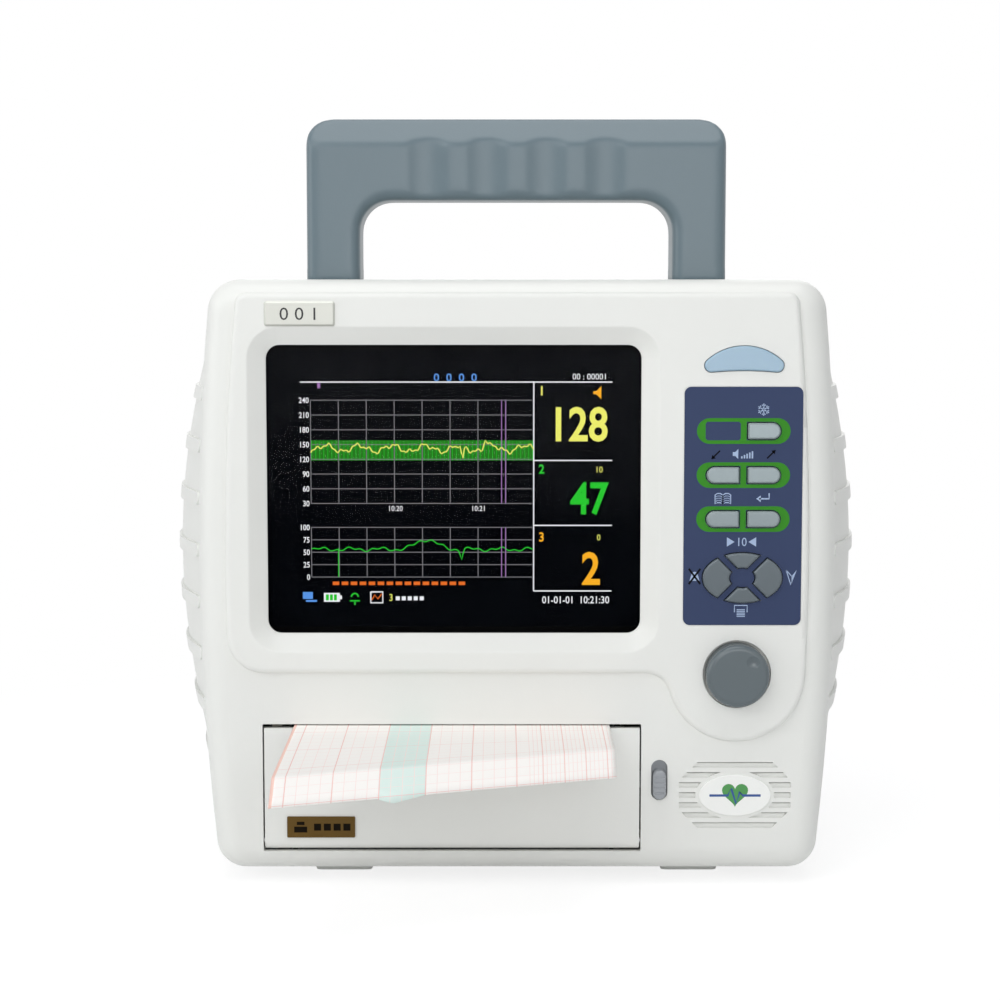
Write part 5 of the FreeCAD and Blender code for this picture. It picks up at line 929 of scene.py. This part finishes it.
@dataclass
class Keypad:
    """Print on the keypad sheet: green rings about the keys, pale and black signs. Sizes are millimetres."""

    paint: Paint
    ring_half_w: float = 16.9
    ring_half_h: float = 4.65
    key_half_w: float = 6.35
    key_half_h: float = 3.35
    stroke: float = 0.45
    green: Finish = Finish("keypad_green", (54, 136, 34), Surface.INK, 0.5, specular=0.15)
    pale: Finish = Finish("keypad_pale", (160, 180, 212), Surface.INK, 0.5)
    black: Finish = Finish("keypad_black", (10, 10, 14), Surface.INK, 0.5, specular=0.05)

    def build(self) -> None:
        """Draws the sheet's print a hair in front of it."""
        low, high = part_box("keypad_overlay")
        self.x = (low[0] + high[0]) / 2
        self.top = high[2]
        self.rings = Drawing(low[1] - 0.03 * MM)
        self.signs = Drawing(low[1] - 0.05 * MM)
        self.darks = Drawing(low[1] - 0.07 * MM)
        spread = middle("key_volume_up").x - self.x
        for key in ("key_freeze", "key_volume_up", "key_enter"):
            z = middle(key).z
            outer = stadium(self.x, z, self.ring_half_w * MM, self.ring_half_h * MM)
            holes = [d_shape(self.x + side * spread, z, side, self.key_half_w * MM, self.key_half_h * MM)
                     for side in (-1, 1)]
            if key == "key_freeze":
                holes[0] = self._blank(self.x - spread, z)
            self.rings.holed(outer, holes)
        self._signs()
        self.rings.finish("keypad_rings", self.paint, self.green, "case", "overlay")
        self.signs.finish("keypad_signs", self.paint, self.pale, "case", "overlay")
        self.darks.finish("keypad_darks", self.paint, self.black, "case", "overlay")

    def _blank(self, x: float, z: float) -> list[Point]:
        """Squarer outline of the place that has no key."""
        corners = ((1.0, -0.8), (1.0, 0.8), (0.9, 1.0), (-0.9, 1.0),
                   (-1.0, 0.8), (-1.0, -0.8), (-0.9, -1.0), (0.9, -1.0))
        return [(x + u * self.key_half_w * MM, z + v * self.key_half_h * MM) for u, v in corners]

    def at(self, u: float, v: float) -> Point:
        """Place so far right of the middle and below the top of the sheet."""
        return self.x + u * MM, self.top - v * MM

    def line(self, points: Sequence[Point], width: float = 0.0, dark: bool = False) -> None:
        """Pale or black line through places on the sheet."""
        layer = self.darks if dark else self.signs
        layer.stroke([self.at(u, v) for u, v in points], (width or self.stroke) * MM)

    def shape(self, points: Sequence[Point], dark: bool = False) -> None:
        """Pale or black filled outline."""
        layer = self.darks if dark else self.signs
        layer.polygon([self.at(u, v) for u, v in points])

    def _signs(self) -> None:
        """All the signs, from the top down."""
        for i in range(6):
            self._crystal_arm(Vector((7.1, 8.2)), math.radians(90 + 60 * i))
        self._volume()
        self._book()
        self.line([(9.4, 38.4), (9.4, 40.4), (5.8, 40.4)], 0.55)
        self.shape([(4.7, 40.4), (6.4, 39.2), (6.4, 41.6)])
        self.shape([(-5.7, 54.4), (-2.9, 56.1), (-5.7, 57.8)])
        self.shape([(4.9, 54.4), (2.1, 56.1), (4.9, 57.8)])
        x, z = self.at(-0.4, 57.6)
        self.signs.text("10", x, z, 4.4 * MM, 0.9, "CENTER")
        self._bell()
        self.line([(15.9, 66.4), (17.7, 71.9), (17.9, 68.6), (15.9, 66.4)], 0.35)
        self.shape([(17.9, 68.6), (19.7, 66.4), (17.7, 71.9)])
        self._printer()

    def _volume(self) -> None:
        """Loudspeaker with rising bars between a black arrow down and one up."""
        for end, start, tip in (((-11.5, 26.0), (-8.5, 23.0), 1.0), ((11.5, 22.8), (8.5, 25.8), -1.0)):
            self.line([start, end], 0.5, True)
            self.shape([end, (end[0] + tip * 1.5, end[1] - tip * 0.2), (end[0] + tip * 0.2, end[1] - tip * 1.5)], True)
        self.shape([(-3.9, 23.5), (-3.0, 23.5), (-1.9, 22.4), (-1.9, 26.0), (-3.0, 24.9), (-3.9, 24.9)])
        for i in range(5):
            self.line([(-0.6 + i * 0.95, 25.8), (-0.6 + i * 0.95, 25.0 - 0.45 * i)], 0.55)

    def _book(self) -> None:
        """Open book with rows on both pages."""
        for side in (-1, 1):
            page = [(-7.3 + side * u, v) for u, v in ((0.0, 39.1), (0.9, 38.5), (2.0, 38.5), (2.8, 39.0))]
            self.line(page + [(u, v + 3.3) for u, v in reversed(page)] + page[:1], 0.4)
            for drop in (0.9, 1.7, 2.5):
                self.line([(u, v + drop) for u, v in page], 0.22)

    def _bell(self) -> None:
        """Bell crossed out in black."""
        x, z = self.at(-17.3, 68.2)
        self.signs.arch(x, z, 0.6 * MM, 1.2 * MM)
        self.shape([(-18.5, 68.2), (-16.1, 68.2), (-15.5, 70.3), (-19.1, 70.3)])
        self.line([(-19.4, 65.9), (-15.2, 71.5)], 0.7, True)
        self.line([(-19.4, 71.5), (-15.2, 65.9)], 0.7, True)

    def _printer(self) -> None:
        """Printer with its sheet."""
        self.line([(-2.7, 81.8), (-2.7, 79.3), (1.9, 79.3), (1.9, 81.8)], 0.4)
        for i in range(5):
            self.line([(-1.9, 80.9 + 0.6 * i), (1.1, 80.9 + 0.6 * i)], 0.35)

    def _crystal_arm(self, heart: Vector, angle: float) -> None:
        """One arm of the snow crystal with its two twigs.

        Args:
            heart: Middle of the crystal on the sheet.
            angle: Way the arm points.
        """
        def reach(start: Vector, way: float, length: float) -> Vector:
            """Place so far along a way."""
            return start + length * Vector((math.cos(way), math.sin(way)))
        self.line([tuple(heart), tuple(reach(heart, angle, 2.2))], 0.4)
        fork = reach(heart, angle, 1.2)
        for turn in (-1, 1):
            self.line([tuple(fork), tuple(reach(fork, angle + turn * math.radians(50), 0.9))], 0.35)


@dataclass
class Marks:
    """Plain prints on the bare plates: a number, a pulse sign and a printer sign."""

    paint: Paint
    ink: Finish = Finish("plate_ink", (34, 34, 36), Surface.INK, 0.5)
    dark: Finish = Finish("label_ink", (20, 14, 6), Surface.INK, 0.6, specular=0.05)
    leaf: Finish = Finish("crest_green", (70, 146, 74), Surface.INK, 0.4)
    sea: Finish = Finish("crest_blue", (38, 78, 146), Surface.INK, 0.4)

    def build(self) -> None:
        """Prints all three plates."""
        self._nameplate()
        self._label()
        self._badge()

    def _nameplate(self) -> None:
        """Generic number on the plate above the display."""
        spot = middle("nameplate")
        drawing = Drawing(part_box("nameplate")[0][1] - 0.02 * MM)
        drawing.text("0 0 1", spot.x, spot.z - 2.2 * MM, 6.4 * MM, 1.1, "CENTER")
        drawing.finish("nameplate_number", self.paint, self.ink, "case", "badge")

    def _label(self) -> None:
        """Printer sign and bars on the door's plate."""
        spot = middle("printer_label_plate")
        drawing = Drawing(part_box("printer_label_plate")[0][1] - 0.02 * MM)
        x, z = spot.x - 7.5 * MM, spot.z
        drawing.stroke([(x - 2.4 * MM, z - 0.9 * MM), (x + 2.4 * MM, z - 0.9 * MM)], 2.2 * MM)
        drawing.stroke([(x - 1.4 * MM, z + 1.4 * MM), (x + 1.4 * MM, z + 1.4 * MM)], 1.2 * MM)
        for i in range(4):
            start = spot.x + (-2.6 + 3.6 * i) * MM
            drawing.stroke([(start, z), (start + 2.6 * MM, z)], 2.6 * MM)
        drawing.finish("label_sign", self.paint, self.dark, "door", "label")

    def _badge(self) -> None:
        """Generic heart with a pulse line through it on the oval badge."""
        spot = middle("badge_oval")
        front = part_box("badge_oval")[0][1]
        heart = Drawing(front - 0.02 * MM)
        trace = Drawing(front - 0.04 * MM)
        outline = []
        for i in range(40):
            turn = 2 * math.pi * i / 40
            u = 16 * math.sin(turn) ** 3
            v = 13 * math.cos(turn) - 5 * math.cos(2 * turn) - 2 * math.cos(3 * turn) - math.cos(4 * turn)
            outline.append((spot.x + u * 0.30 * MM, spot.z + (v + 2.5) * 0.30 * MM))
        heart.polygon(outline)
        pulse = [(-9.4, 0.0), (-2.6, 0.0), (-1.4, 2.6), (0.4, -3.0), (1.8, 1.4), (2.8, 0.0), (9.4, 0.0)]
        trace.stroke([(spot.x + u * MM, spot.z + v * MM) for u, v in pulse], 0.9 * MM)
        heart.finish("badge_heart", self.paint, self.leaf, "case", "badge")
        trace.finish("badge_pulse", self.paint, self.sea, "case", "badge")


@dataclass
class ChartPaper:
    """Chart strip that leaves the slot, and the folded pack inside. Sizes are millimetres.

    Attributes:
        reach: How far the oblique fold lies in front of the panel on the left and on the right.
        drop: How much the strip sinks from the slot to the fold on the left.
        lip: Reach and drop of the lip beyond the fold.
        tab: Start, tip and end of the torn tab as shares of the width, and its length as a share of the lip.
        hinge_inset: Where the door's hinge lies, in from its lower front edge.
        wrap: Radius of the strip's middle round the roller.
        above_pack: Height of the strip's middle over the pack.
        tail: Where the strip leaves the pack and where it turns, behind the pack's front.
        bend: Radius of the turn into the slot.
    """

    paint: Paint
    thickness: float = 0.22
    columns: int = 60
    rise: float = 2.5
    slot_half: float = 0.9
    reach: tuple[float, float] = (74.0, 34.0)
    drop: float = 1.9
    lip: tuple[float, float] = (11.0, 7.6)
    tab: tuple[float, float, float, float] = (0.30, 0.345, 0.44, 0.20)
    hinge_inset: float = 3.0
    wrap: float = 6.275
    above_pack: float = 0.425
    tail: tuple[float, float] = (14.0, 2.0)
    bend: float = 18.0
    paper: Finish = Finish("chart_paper", (253, 249, 245), Surface.CHART, 0.75, relief=0.05, grain=900.0)
    stack: Finish = Finish("paper_stack", (246, 236, 230), Surface.STACK, 0.8, relief=0.1, grain=900.0)

    def build(self) -> None:
        """Makes the strip and the pack."""
        low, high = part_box("paper_strip")
        self.left = low[0]
        self.width = high[0] - low[0]
        self.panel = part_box("front_bezel")[0][1]
        self.slot_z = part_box("printer_door")[1][2] + self.slot_half * MM
        self.slope = self.drop / (self.rise + self.reach[0])
        self._strip()
        self._pack()

    def _level(self, y: float) -> float:
        """Height of the strip outside the slot."""
        return self.slot_z + (y - self.panel - self.rise * MM) * self.slope

    def _inside(self) -> list[Vector]:
        """Centre line as (y, z) from the pack over the roller to just outside the slot.

        Returns:
            Points at most a few millimetres apart.
        """
        roller = middle("platen_roller")
        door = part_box("printer_door")[0]
        hinge = Vector((door[1] + self.hinge_inset * MM, door[2] + self.hinge_inset * MM))
        axis = Vector((roller.y, roller.z))
        radius = self.wrap * MM
        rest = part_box("paper_pack")[1][2] + self.above_pack * MM
        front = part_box("paper_pack")[0][1]
        edge = Vector((front + self.tail[1] * MM, rest))
        gap = edge - axis
        come = math.atan2(gap.y, gap.x) + math.acos(radius / gap.length)
        out = math.atan2(axis.y - hinge.y, axis.x - hinge.x)
        arc = [axis + radius * Vector((math.cos(a), math.sin(a)))
               for a in (come + (out - come) * i / 12 for i in range(13))]
        leave = arc[-1]
        climb = math.cos(out) / math.sin(out)
        bend_y = (leave.y + leave.x * climb - self._level(0.0)) / (climb + self.slope)
        bend = Vector((bend_y, self._level(bend_y)))
        mouth_y = self.panel - self.rise * MM
        mouth = Vector((mouth_y, self._level(mouth_y)))
        line = [Vector((front + self.tail[0] * MM, rest)), edge + Vector((0.6 * MM, 0.0)),
                edge + Vector((0.0, 0.3 * MM))]
        return line + arc + self._rounded(leave, bend, mouth, self.bend * MM) + [mouth]

    def _outside(self, share: float) -> list[Vector]:
        """Centre line of one column from outside the slot over the oblique fold to the torn end.

        Args:
            share: Place of the column across the strip, from 0 to 1.

        Returns:
            Points as (y, z).
        """
        mouth_y = self.panel - self.rise * MM
        fold_y = self.panel - (self.reach[0] + share * (self.reach[1] - self.reach[0])) * MM
        start, tip, end, length = self.tab
        torn = 1.0 + length * max(0.0, min((share - start) / (tip - start), (end - share) / (end - tip)))
        points = []
        for i in range(1, TONGUE_STEPS + 1):
            y = mouth_y + i / TONGUE_STEPS * (fold_y - mouth_y)
            points.append(Vector((y, self._level(y))))
        for part in (0.07, 0.35, 0.65, 1.0):
            points.append(points[TONGUE_STEPS - 1] - Vector(self.lip) * part * torn * MM)
        return points

    @staticmethod
    def _rounded(before: Vector, corner: Vector, after: Vector, radius: float) -> list[Vector]:
        """Round bend between two straight runs.

        Args:
            before: Start of the first run.
            corner: Where the runs would meet.
            after: End of the second run.
            radius: Radius of the bend.

        Returns:
            Points along the bend.
        """
        a = (before - corner).normalized()
        b = (after - corner).normalized()
        half = math.acos(max(-1.0, min(1.0, a.dot(b)))) / 2
        reach = radius / math.tan(half)
        centre = corner + (a + b).normalized() * radius / math.sin(half)
        start = corner + a * reach - centre
        end = corner + b * reach - centre
        points = []
        for i in range(9):
            point = (start.lerp(end, i / 8)).normalized() * radius
            points.append(centre + point)
        return points

    def _strip(self) -> None:
        """Strip with its print coordinates and torn end."""
        inside = self._inside()
        first = len(inside)
        last = first + TONGUE_STEPS - 1
        mean = sum(self.reach) / 2 - self.rise
        mesh = bmesh.new()
        layer = mesh.loops.layers.uv.new("strip_mm")
        grid: dict[tuple[int, int, int], bmesh.types.BMVert] = {}
        place: dict[bmesh.types.BMVert, Point] = {}
        longest = 0.0
        for column in range(self.columns + 1):
            share = column / self.columns
            line = inside + self._outside(share)
            even = mean * MM / (line[last] - line[first - 1]).length
            length = 0.0
            printed = 0.0
            for row, point in enumerate(line):
                ahead = line[min(row + 1, len(line) - 1)]
                behind = line[max(row - 1, 0)]
                run = (ahead - behind).normalized()
                step = (point - behind).length
                length += step
                printed += step * even if first <= row <= last else step
                for side in (0, 1):
                    spot = point + Vector((-run.y, run.x)) * (0.5 - side) * self.thickness * MM
                    vert = mesh.verts.new((self.left + share * self.width, spot.x, spot.y))
                    grid[column, row, side] = vert
                    place[vert] = (share * self.width / MM, printed / MM)
            longest = max(longest, length)
        rows = len(inside) + len(self._outside(0.0))
        self._skin(mesh, grid, rows)
        bmesh.ops.recalc_face_normals(mesh, faces=mesh.faces)
        for face in mesh.faces:
            face.smooth = True
            for loop in face.loops:
                loop[layer].uv = place[loop.vert]
        strip = place_mesh("chart_strip", mesh)
        self.paint.coat(strip, self.paper)
        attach(strip, "case")
        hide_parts("paper_strip")
        LOG.info("chart_strip: %.0f mm long", longest / MM)

    def _skin(self, mesh: bmesh.types.BMesh, grid: dict[tuple[int, int, int], bmesh.types.BMVert],
              rows: int) -> None:
        """Faces over both sides and round the edges of the grid of points.

        Args:
            mesh: Where the faces go.
            grid: Points by column, row and side.
            rows: Number of rows.
        """
        def quad(*corners: tuple[int, int, int]) -> None:
            """One face through four grid points."""
            mesh.faces.new([grid[corner] for corner in corners])

        for i in range(self.columns):
            for j in range(rows - 1):
                quad((i, j, 0), (i + 1, j, 0), (i + 1, j + 1, 0), (i, j + 1, 0))
                quad((i, j + 1, 1), (i + 1, j + 1, 1), (i + 1, j, 1), (i, j, 1))
            for j in (0, rows - 1):
                quad((i, j, 0), (i + 1, j, 0), (i + 1, j, 1), (i, j, 1))
        for i in (0, self.columns):
            for j in range(rows - 1):
                quad((i, j, 0), (i, j + 1, 0), (i, j + 1, 1), (i, j, 1))

    def _pack(self) -> None:
        """Folded pack with softened fold edges."""
        low, high = (Vector(v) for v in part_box("paper_pack"))
        size = high - low
        mesh = bmesh.new()
        bmesh.ops.create_cube(mesh, size=1.0)
        bmesh.ops.transform(mesh, verts=mesh.verts, matrix=Matrix.Translation((low + high) / 2)
                            @ Matrix.Diagonal((size.x, size.y, size.z, 1.0)))
        bmesh.ops.bevel(mesh, geom=mesh.edges[:], offset=0.6 * MM, affect="EDGES", segments=3, profile=0.5,
                        material=-1)
        pack = place_mesh("paper_stack", mesh)
        self.paint.coat(pack, self.stack)
        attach(pack, "case")
        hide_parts("paper_pack")
        LOG.info("paper_stack: folded pack")


@dataclass(frozen=True)
class Lamp:
    """Square soft light: its name, place and size in metres, and power in watts."""

    name: str
    spot: tuple[float, float, float]
    size: float
    watts: float


@dataclass
class Studio:
    """Pale floor, white surround, soft lights and the camera. Sizes are metres.

    Attributes:
        eye_x: Place of the camera across.
        eye_z: Height of the camera.
        distance: Distance of the camera from the panel.
        pitch: How far the camera is tipped down, in degrees.
        shadow_floor: Brightness of the floor in full shadow.
        shadow_share: How much of the light on the floor shows.
        shadow_fade: Distances from the object between which the shadow fades out.
        aim_z: Height that the lamps are aimed at.
    """

    eye_x: float = -0.0062
    eye_z: float = 0.2127
    distance: float = 0.750
    pitch: float = 5.3
    lens: float = 75.0
    sensor: float = 36.0
    floor_size: float = 6.0
    shadow_floor: float = 0.80
    shadow_share: float = 0.3
    shadow_fade: tuple[float, float] = (0.25, 0.45)
    aim_z: float = 0.13
    lamps: tuple[Lamp, ...] = (
        Lamp("key_light", (-0.70, -1.10, 1.05), 0.9, 5.4),
        Lamp("front_light", (0.10, -1.45, 0.35), 0.8, 4.8),
        Lamp("left_light", (-1.25, -0.35, 0.45), 0.8, 3.7),
        Lamp("fill_light", (0.95, -1.15, 0.75), 0.9, 1.6),
        Lamp("top_light", (0.0, -0.20, 1.35), 0.9, 6.4),
        Lamp("back_light", (0.2, 1.3, 0.9), 1.0, 4.0),
    )

    def build(self) -> None:
        """Sets up everything around the object."""
        self._floor()
        self._world()
        for lamp in self.lamps:
            self._light(lamp)
        self._camera()

    def _white(self, tree: bpy.types.NodeTree, shade: bpy.types.NodeSocket, white: bpy.types.NodeSocket,
               target: bpy.types.NodeSocket) -> None:
        """Shows white to the camera, to mirrors and through glass, and another shader to all other rays.

        Args:
            tree: Node tree of the material or world.
            shade: Shader for all other rays.
            white: Shader that is seen.
            target: Input that takes the mix.
        """
        path = tree.nodes.new("ShaderNodeLightPath")
        mix = tree.nodes.new("ShaderNodeMixShader")
        seen = path.outputs["Is Camera Ray"]
        for ray in ("Is Glossy Ray", "Is Transmission Ray"):
            either = tree.nodes.new("ShaderNodeMath")
            either.operation = "MAXIMUM"
            tree.links.new(seen, either.inputs[0])
            tree.links.new(path.outputs[ray], either.inputs[1])
            seen = either.outputs["Value"]
        tree.links.new(seen, mix.inputs["Fac"])
        tree.links.new(shade, mix.inputs[1])
        tree.links.new(white, mix.inputs[2])
        tree.links.new(mix.outputs["Shader"], target)

    def _floor(self) -> None:
        """White floor under the feet, which shows the object's shadow."""
        mesh = bmesh.new()
        bmesh.ops.create_grid(mesh, x_segments=1, y_segments=1, size=self.floor_size / 2)
        floor = place_mesh("floor", mesh)
        material = bpy.data.materials.new("floor")
        material.use_nodes = True
        tree = material.node_tree
        shader = tree.nodes["Principled BSDF"]
        shader.inputs["Base Color"].default_value = (0.86, 0.86, 0.86, 1.0)
        shader.inputs["Roughness"].default_value = 0.9
        glow = tree.nodes.new("ShaderNodeEmission")
        glow.inputs["Color"].default_value = (1.0, 1.0, 1.0, 1.0)
        glow.inputs["Strength"].default_value = 1.0
        self._white(tree, shader.outputs["BSDF"], self._shadowed(tree, glow),
                    tree.nodes["Material Output"].inputs["Surface"])
        floor.data.materials.append(material)

    def _shadowed(self, tree: bpy.types.NodeTree, glow: bpy.types.Node) -> bpy.types.NodeSocket:
        """White that takes the object's shadow near it.

        Args:
            tree: Node tree of the floor.
            glow: Plain white, as shown far from the object.

        Returns:
            Output of the joined shader.
        """
        base = tree.nodes.new("ShaderNodeEmission")
        base.inputs["Strength"].default_value = self.shadow_floor
        lit = tree.nodes.new("ShaderNodeBsdfDiffuse")
        lit.inputs["Color"].default_value = (self.shadow_share, self.shadow_share, self.shadow_share, 1.0)
        near = tree.nodes.new("ShaderNodeAddShader")
        tree.links.new(base.outputs["Emission"], near.inputs[0])
        tree.links.new(lit.outputs["BSDF"], near.inputs[1])
        place = tree.nodes.new("ShaderNodeTexCoord")
        away = tree.nodes.new("ShaderNodeVectorMath")
        away.operation = "LENGTH"
        tree.links.new(place.outputs["Object"], away.inputs[0])
        share = tree.nodes.new("ShaderNodeMapRange")
        share.inputs["From Min"].default_value = self.shadow_fade[0]
        share.inputs["From Max"].default_value = self.shadow_fade[1]
        tree.links.new(away.outputs["Value"], share.inputs["Value"])
        mix = tree.nodes.new("ShaderNodeMixShader")
        tree.links.new(share.outputs["Result"], mix.inputs["Fac"])
        tree.links.new(near.outputs["Shader"], mix.inputs[1])
        tree.links.new(glow.outputs["Emission"], mix.inputs[2])
        return mix.outputs["Shader"]

    def _world(self) -> None:
        """Soft even light from all round, white behind the object."""
        world = bpy.data.worlds.new("studio")
        bpy.context.scene.world = world
        world.use_nodes = True
        tree = world.node_tree
        soft = tree.nodes["Background"]
        soft.inputs["Color"].default_value = (0.92, 0.95, 1.0, 1.0)
        soft.inputs["Strength"].default_value = 0.24
        white = tree.nodes.new("ShaderNodeBackground")
        white.inputs["Color"].default_value = (1.0, 1.0, 1.0, 1.0)
        white.inputs["Strength"].default_value = 1.0
        self._white(tree, soft.outputs["Background"], white.outputs["Background"],
                    tree.nodes["World Output"].inputs["Surface"])

    def _light(self, lamp: Lamp) -> None:
        """Soft light aimed at the object's middle.

        Args:
            lamp: Which light.
        """
        data = bpy.data.lights.new(lamp.name, "AREA")
        data.size = lamp.size
        data.energy = lamp.watts
        holder = bpy.data.objects.new(lamp.name, data)
        holder.location = lamp.spot
        aim = Vector((0.0, 0.0, self.aim_z)) - Vector(lamp.spot)
        holder.rotation_euler = aim.to_track_quat("-Z", "Y").to_euler()
        bpy.context.scene.collection.objects.link(holder)

    def _camera(self) -> None:
        """Camera in front, at the height of the case's top, tipped slightly down."""
        data = bpy.data.cameras.new("camera")
        data.lens = self.lens
        data.sensor_width = self.sensor
        data.clip_end = 50.0
        camera = bpy.data.objects.new("camera", data)
        camera.location = (self.eye_x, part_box("front_bezel")[0][1] - self.distance, self.eye_z)
        camera.rotation_euler = (math.radians(90.0 - self.pitch), 0.0, 0.0)
        bpy.context.scene.collection.objects.link(camera)
        bpy.context.scene.camera = camera


def main() -> None:
    """Builds every sub-assembly in order."""
    logging.basicConfig(level=logging.INFO, format="%(message)s")
    bpy.context.scene.view_settings.view_transform = "Standard"
    paint = Paint()
    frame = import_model()
    Casework(paint).build(frame["nodes"])
    SoftHandle(paint).build(frame["nodes"]["carry_handle"])
    Screen(paint).build()
    Keypad(paint).build()
    Marks(paint).build()
    ChartPaper(paint).build()
    Studio().build()


if __name__ == "__main__":
    main()
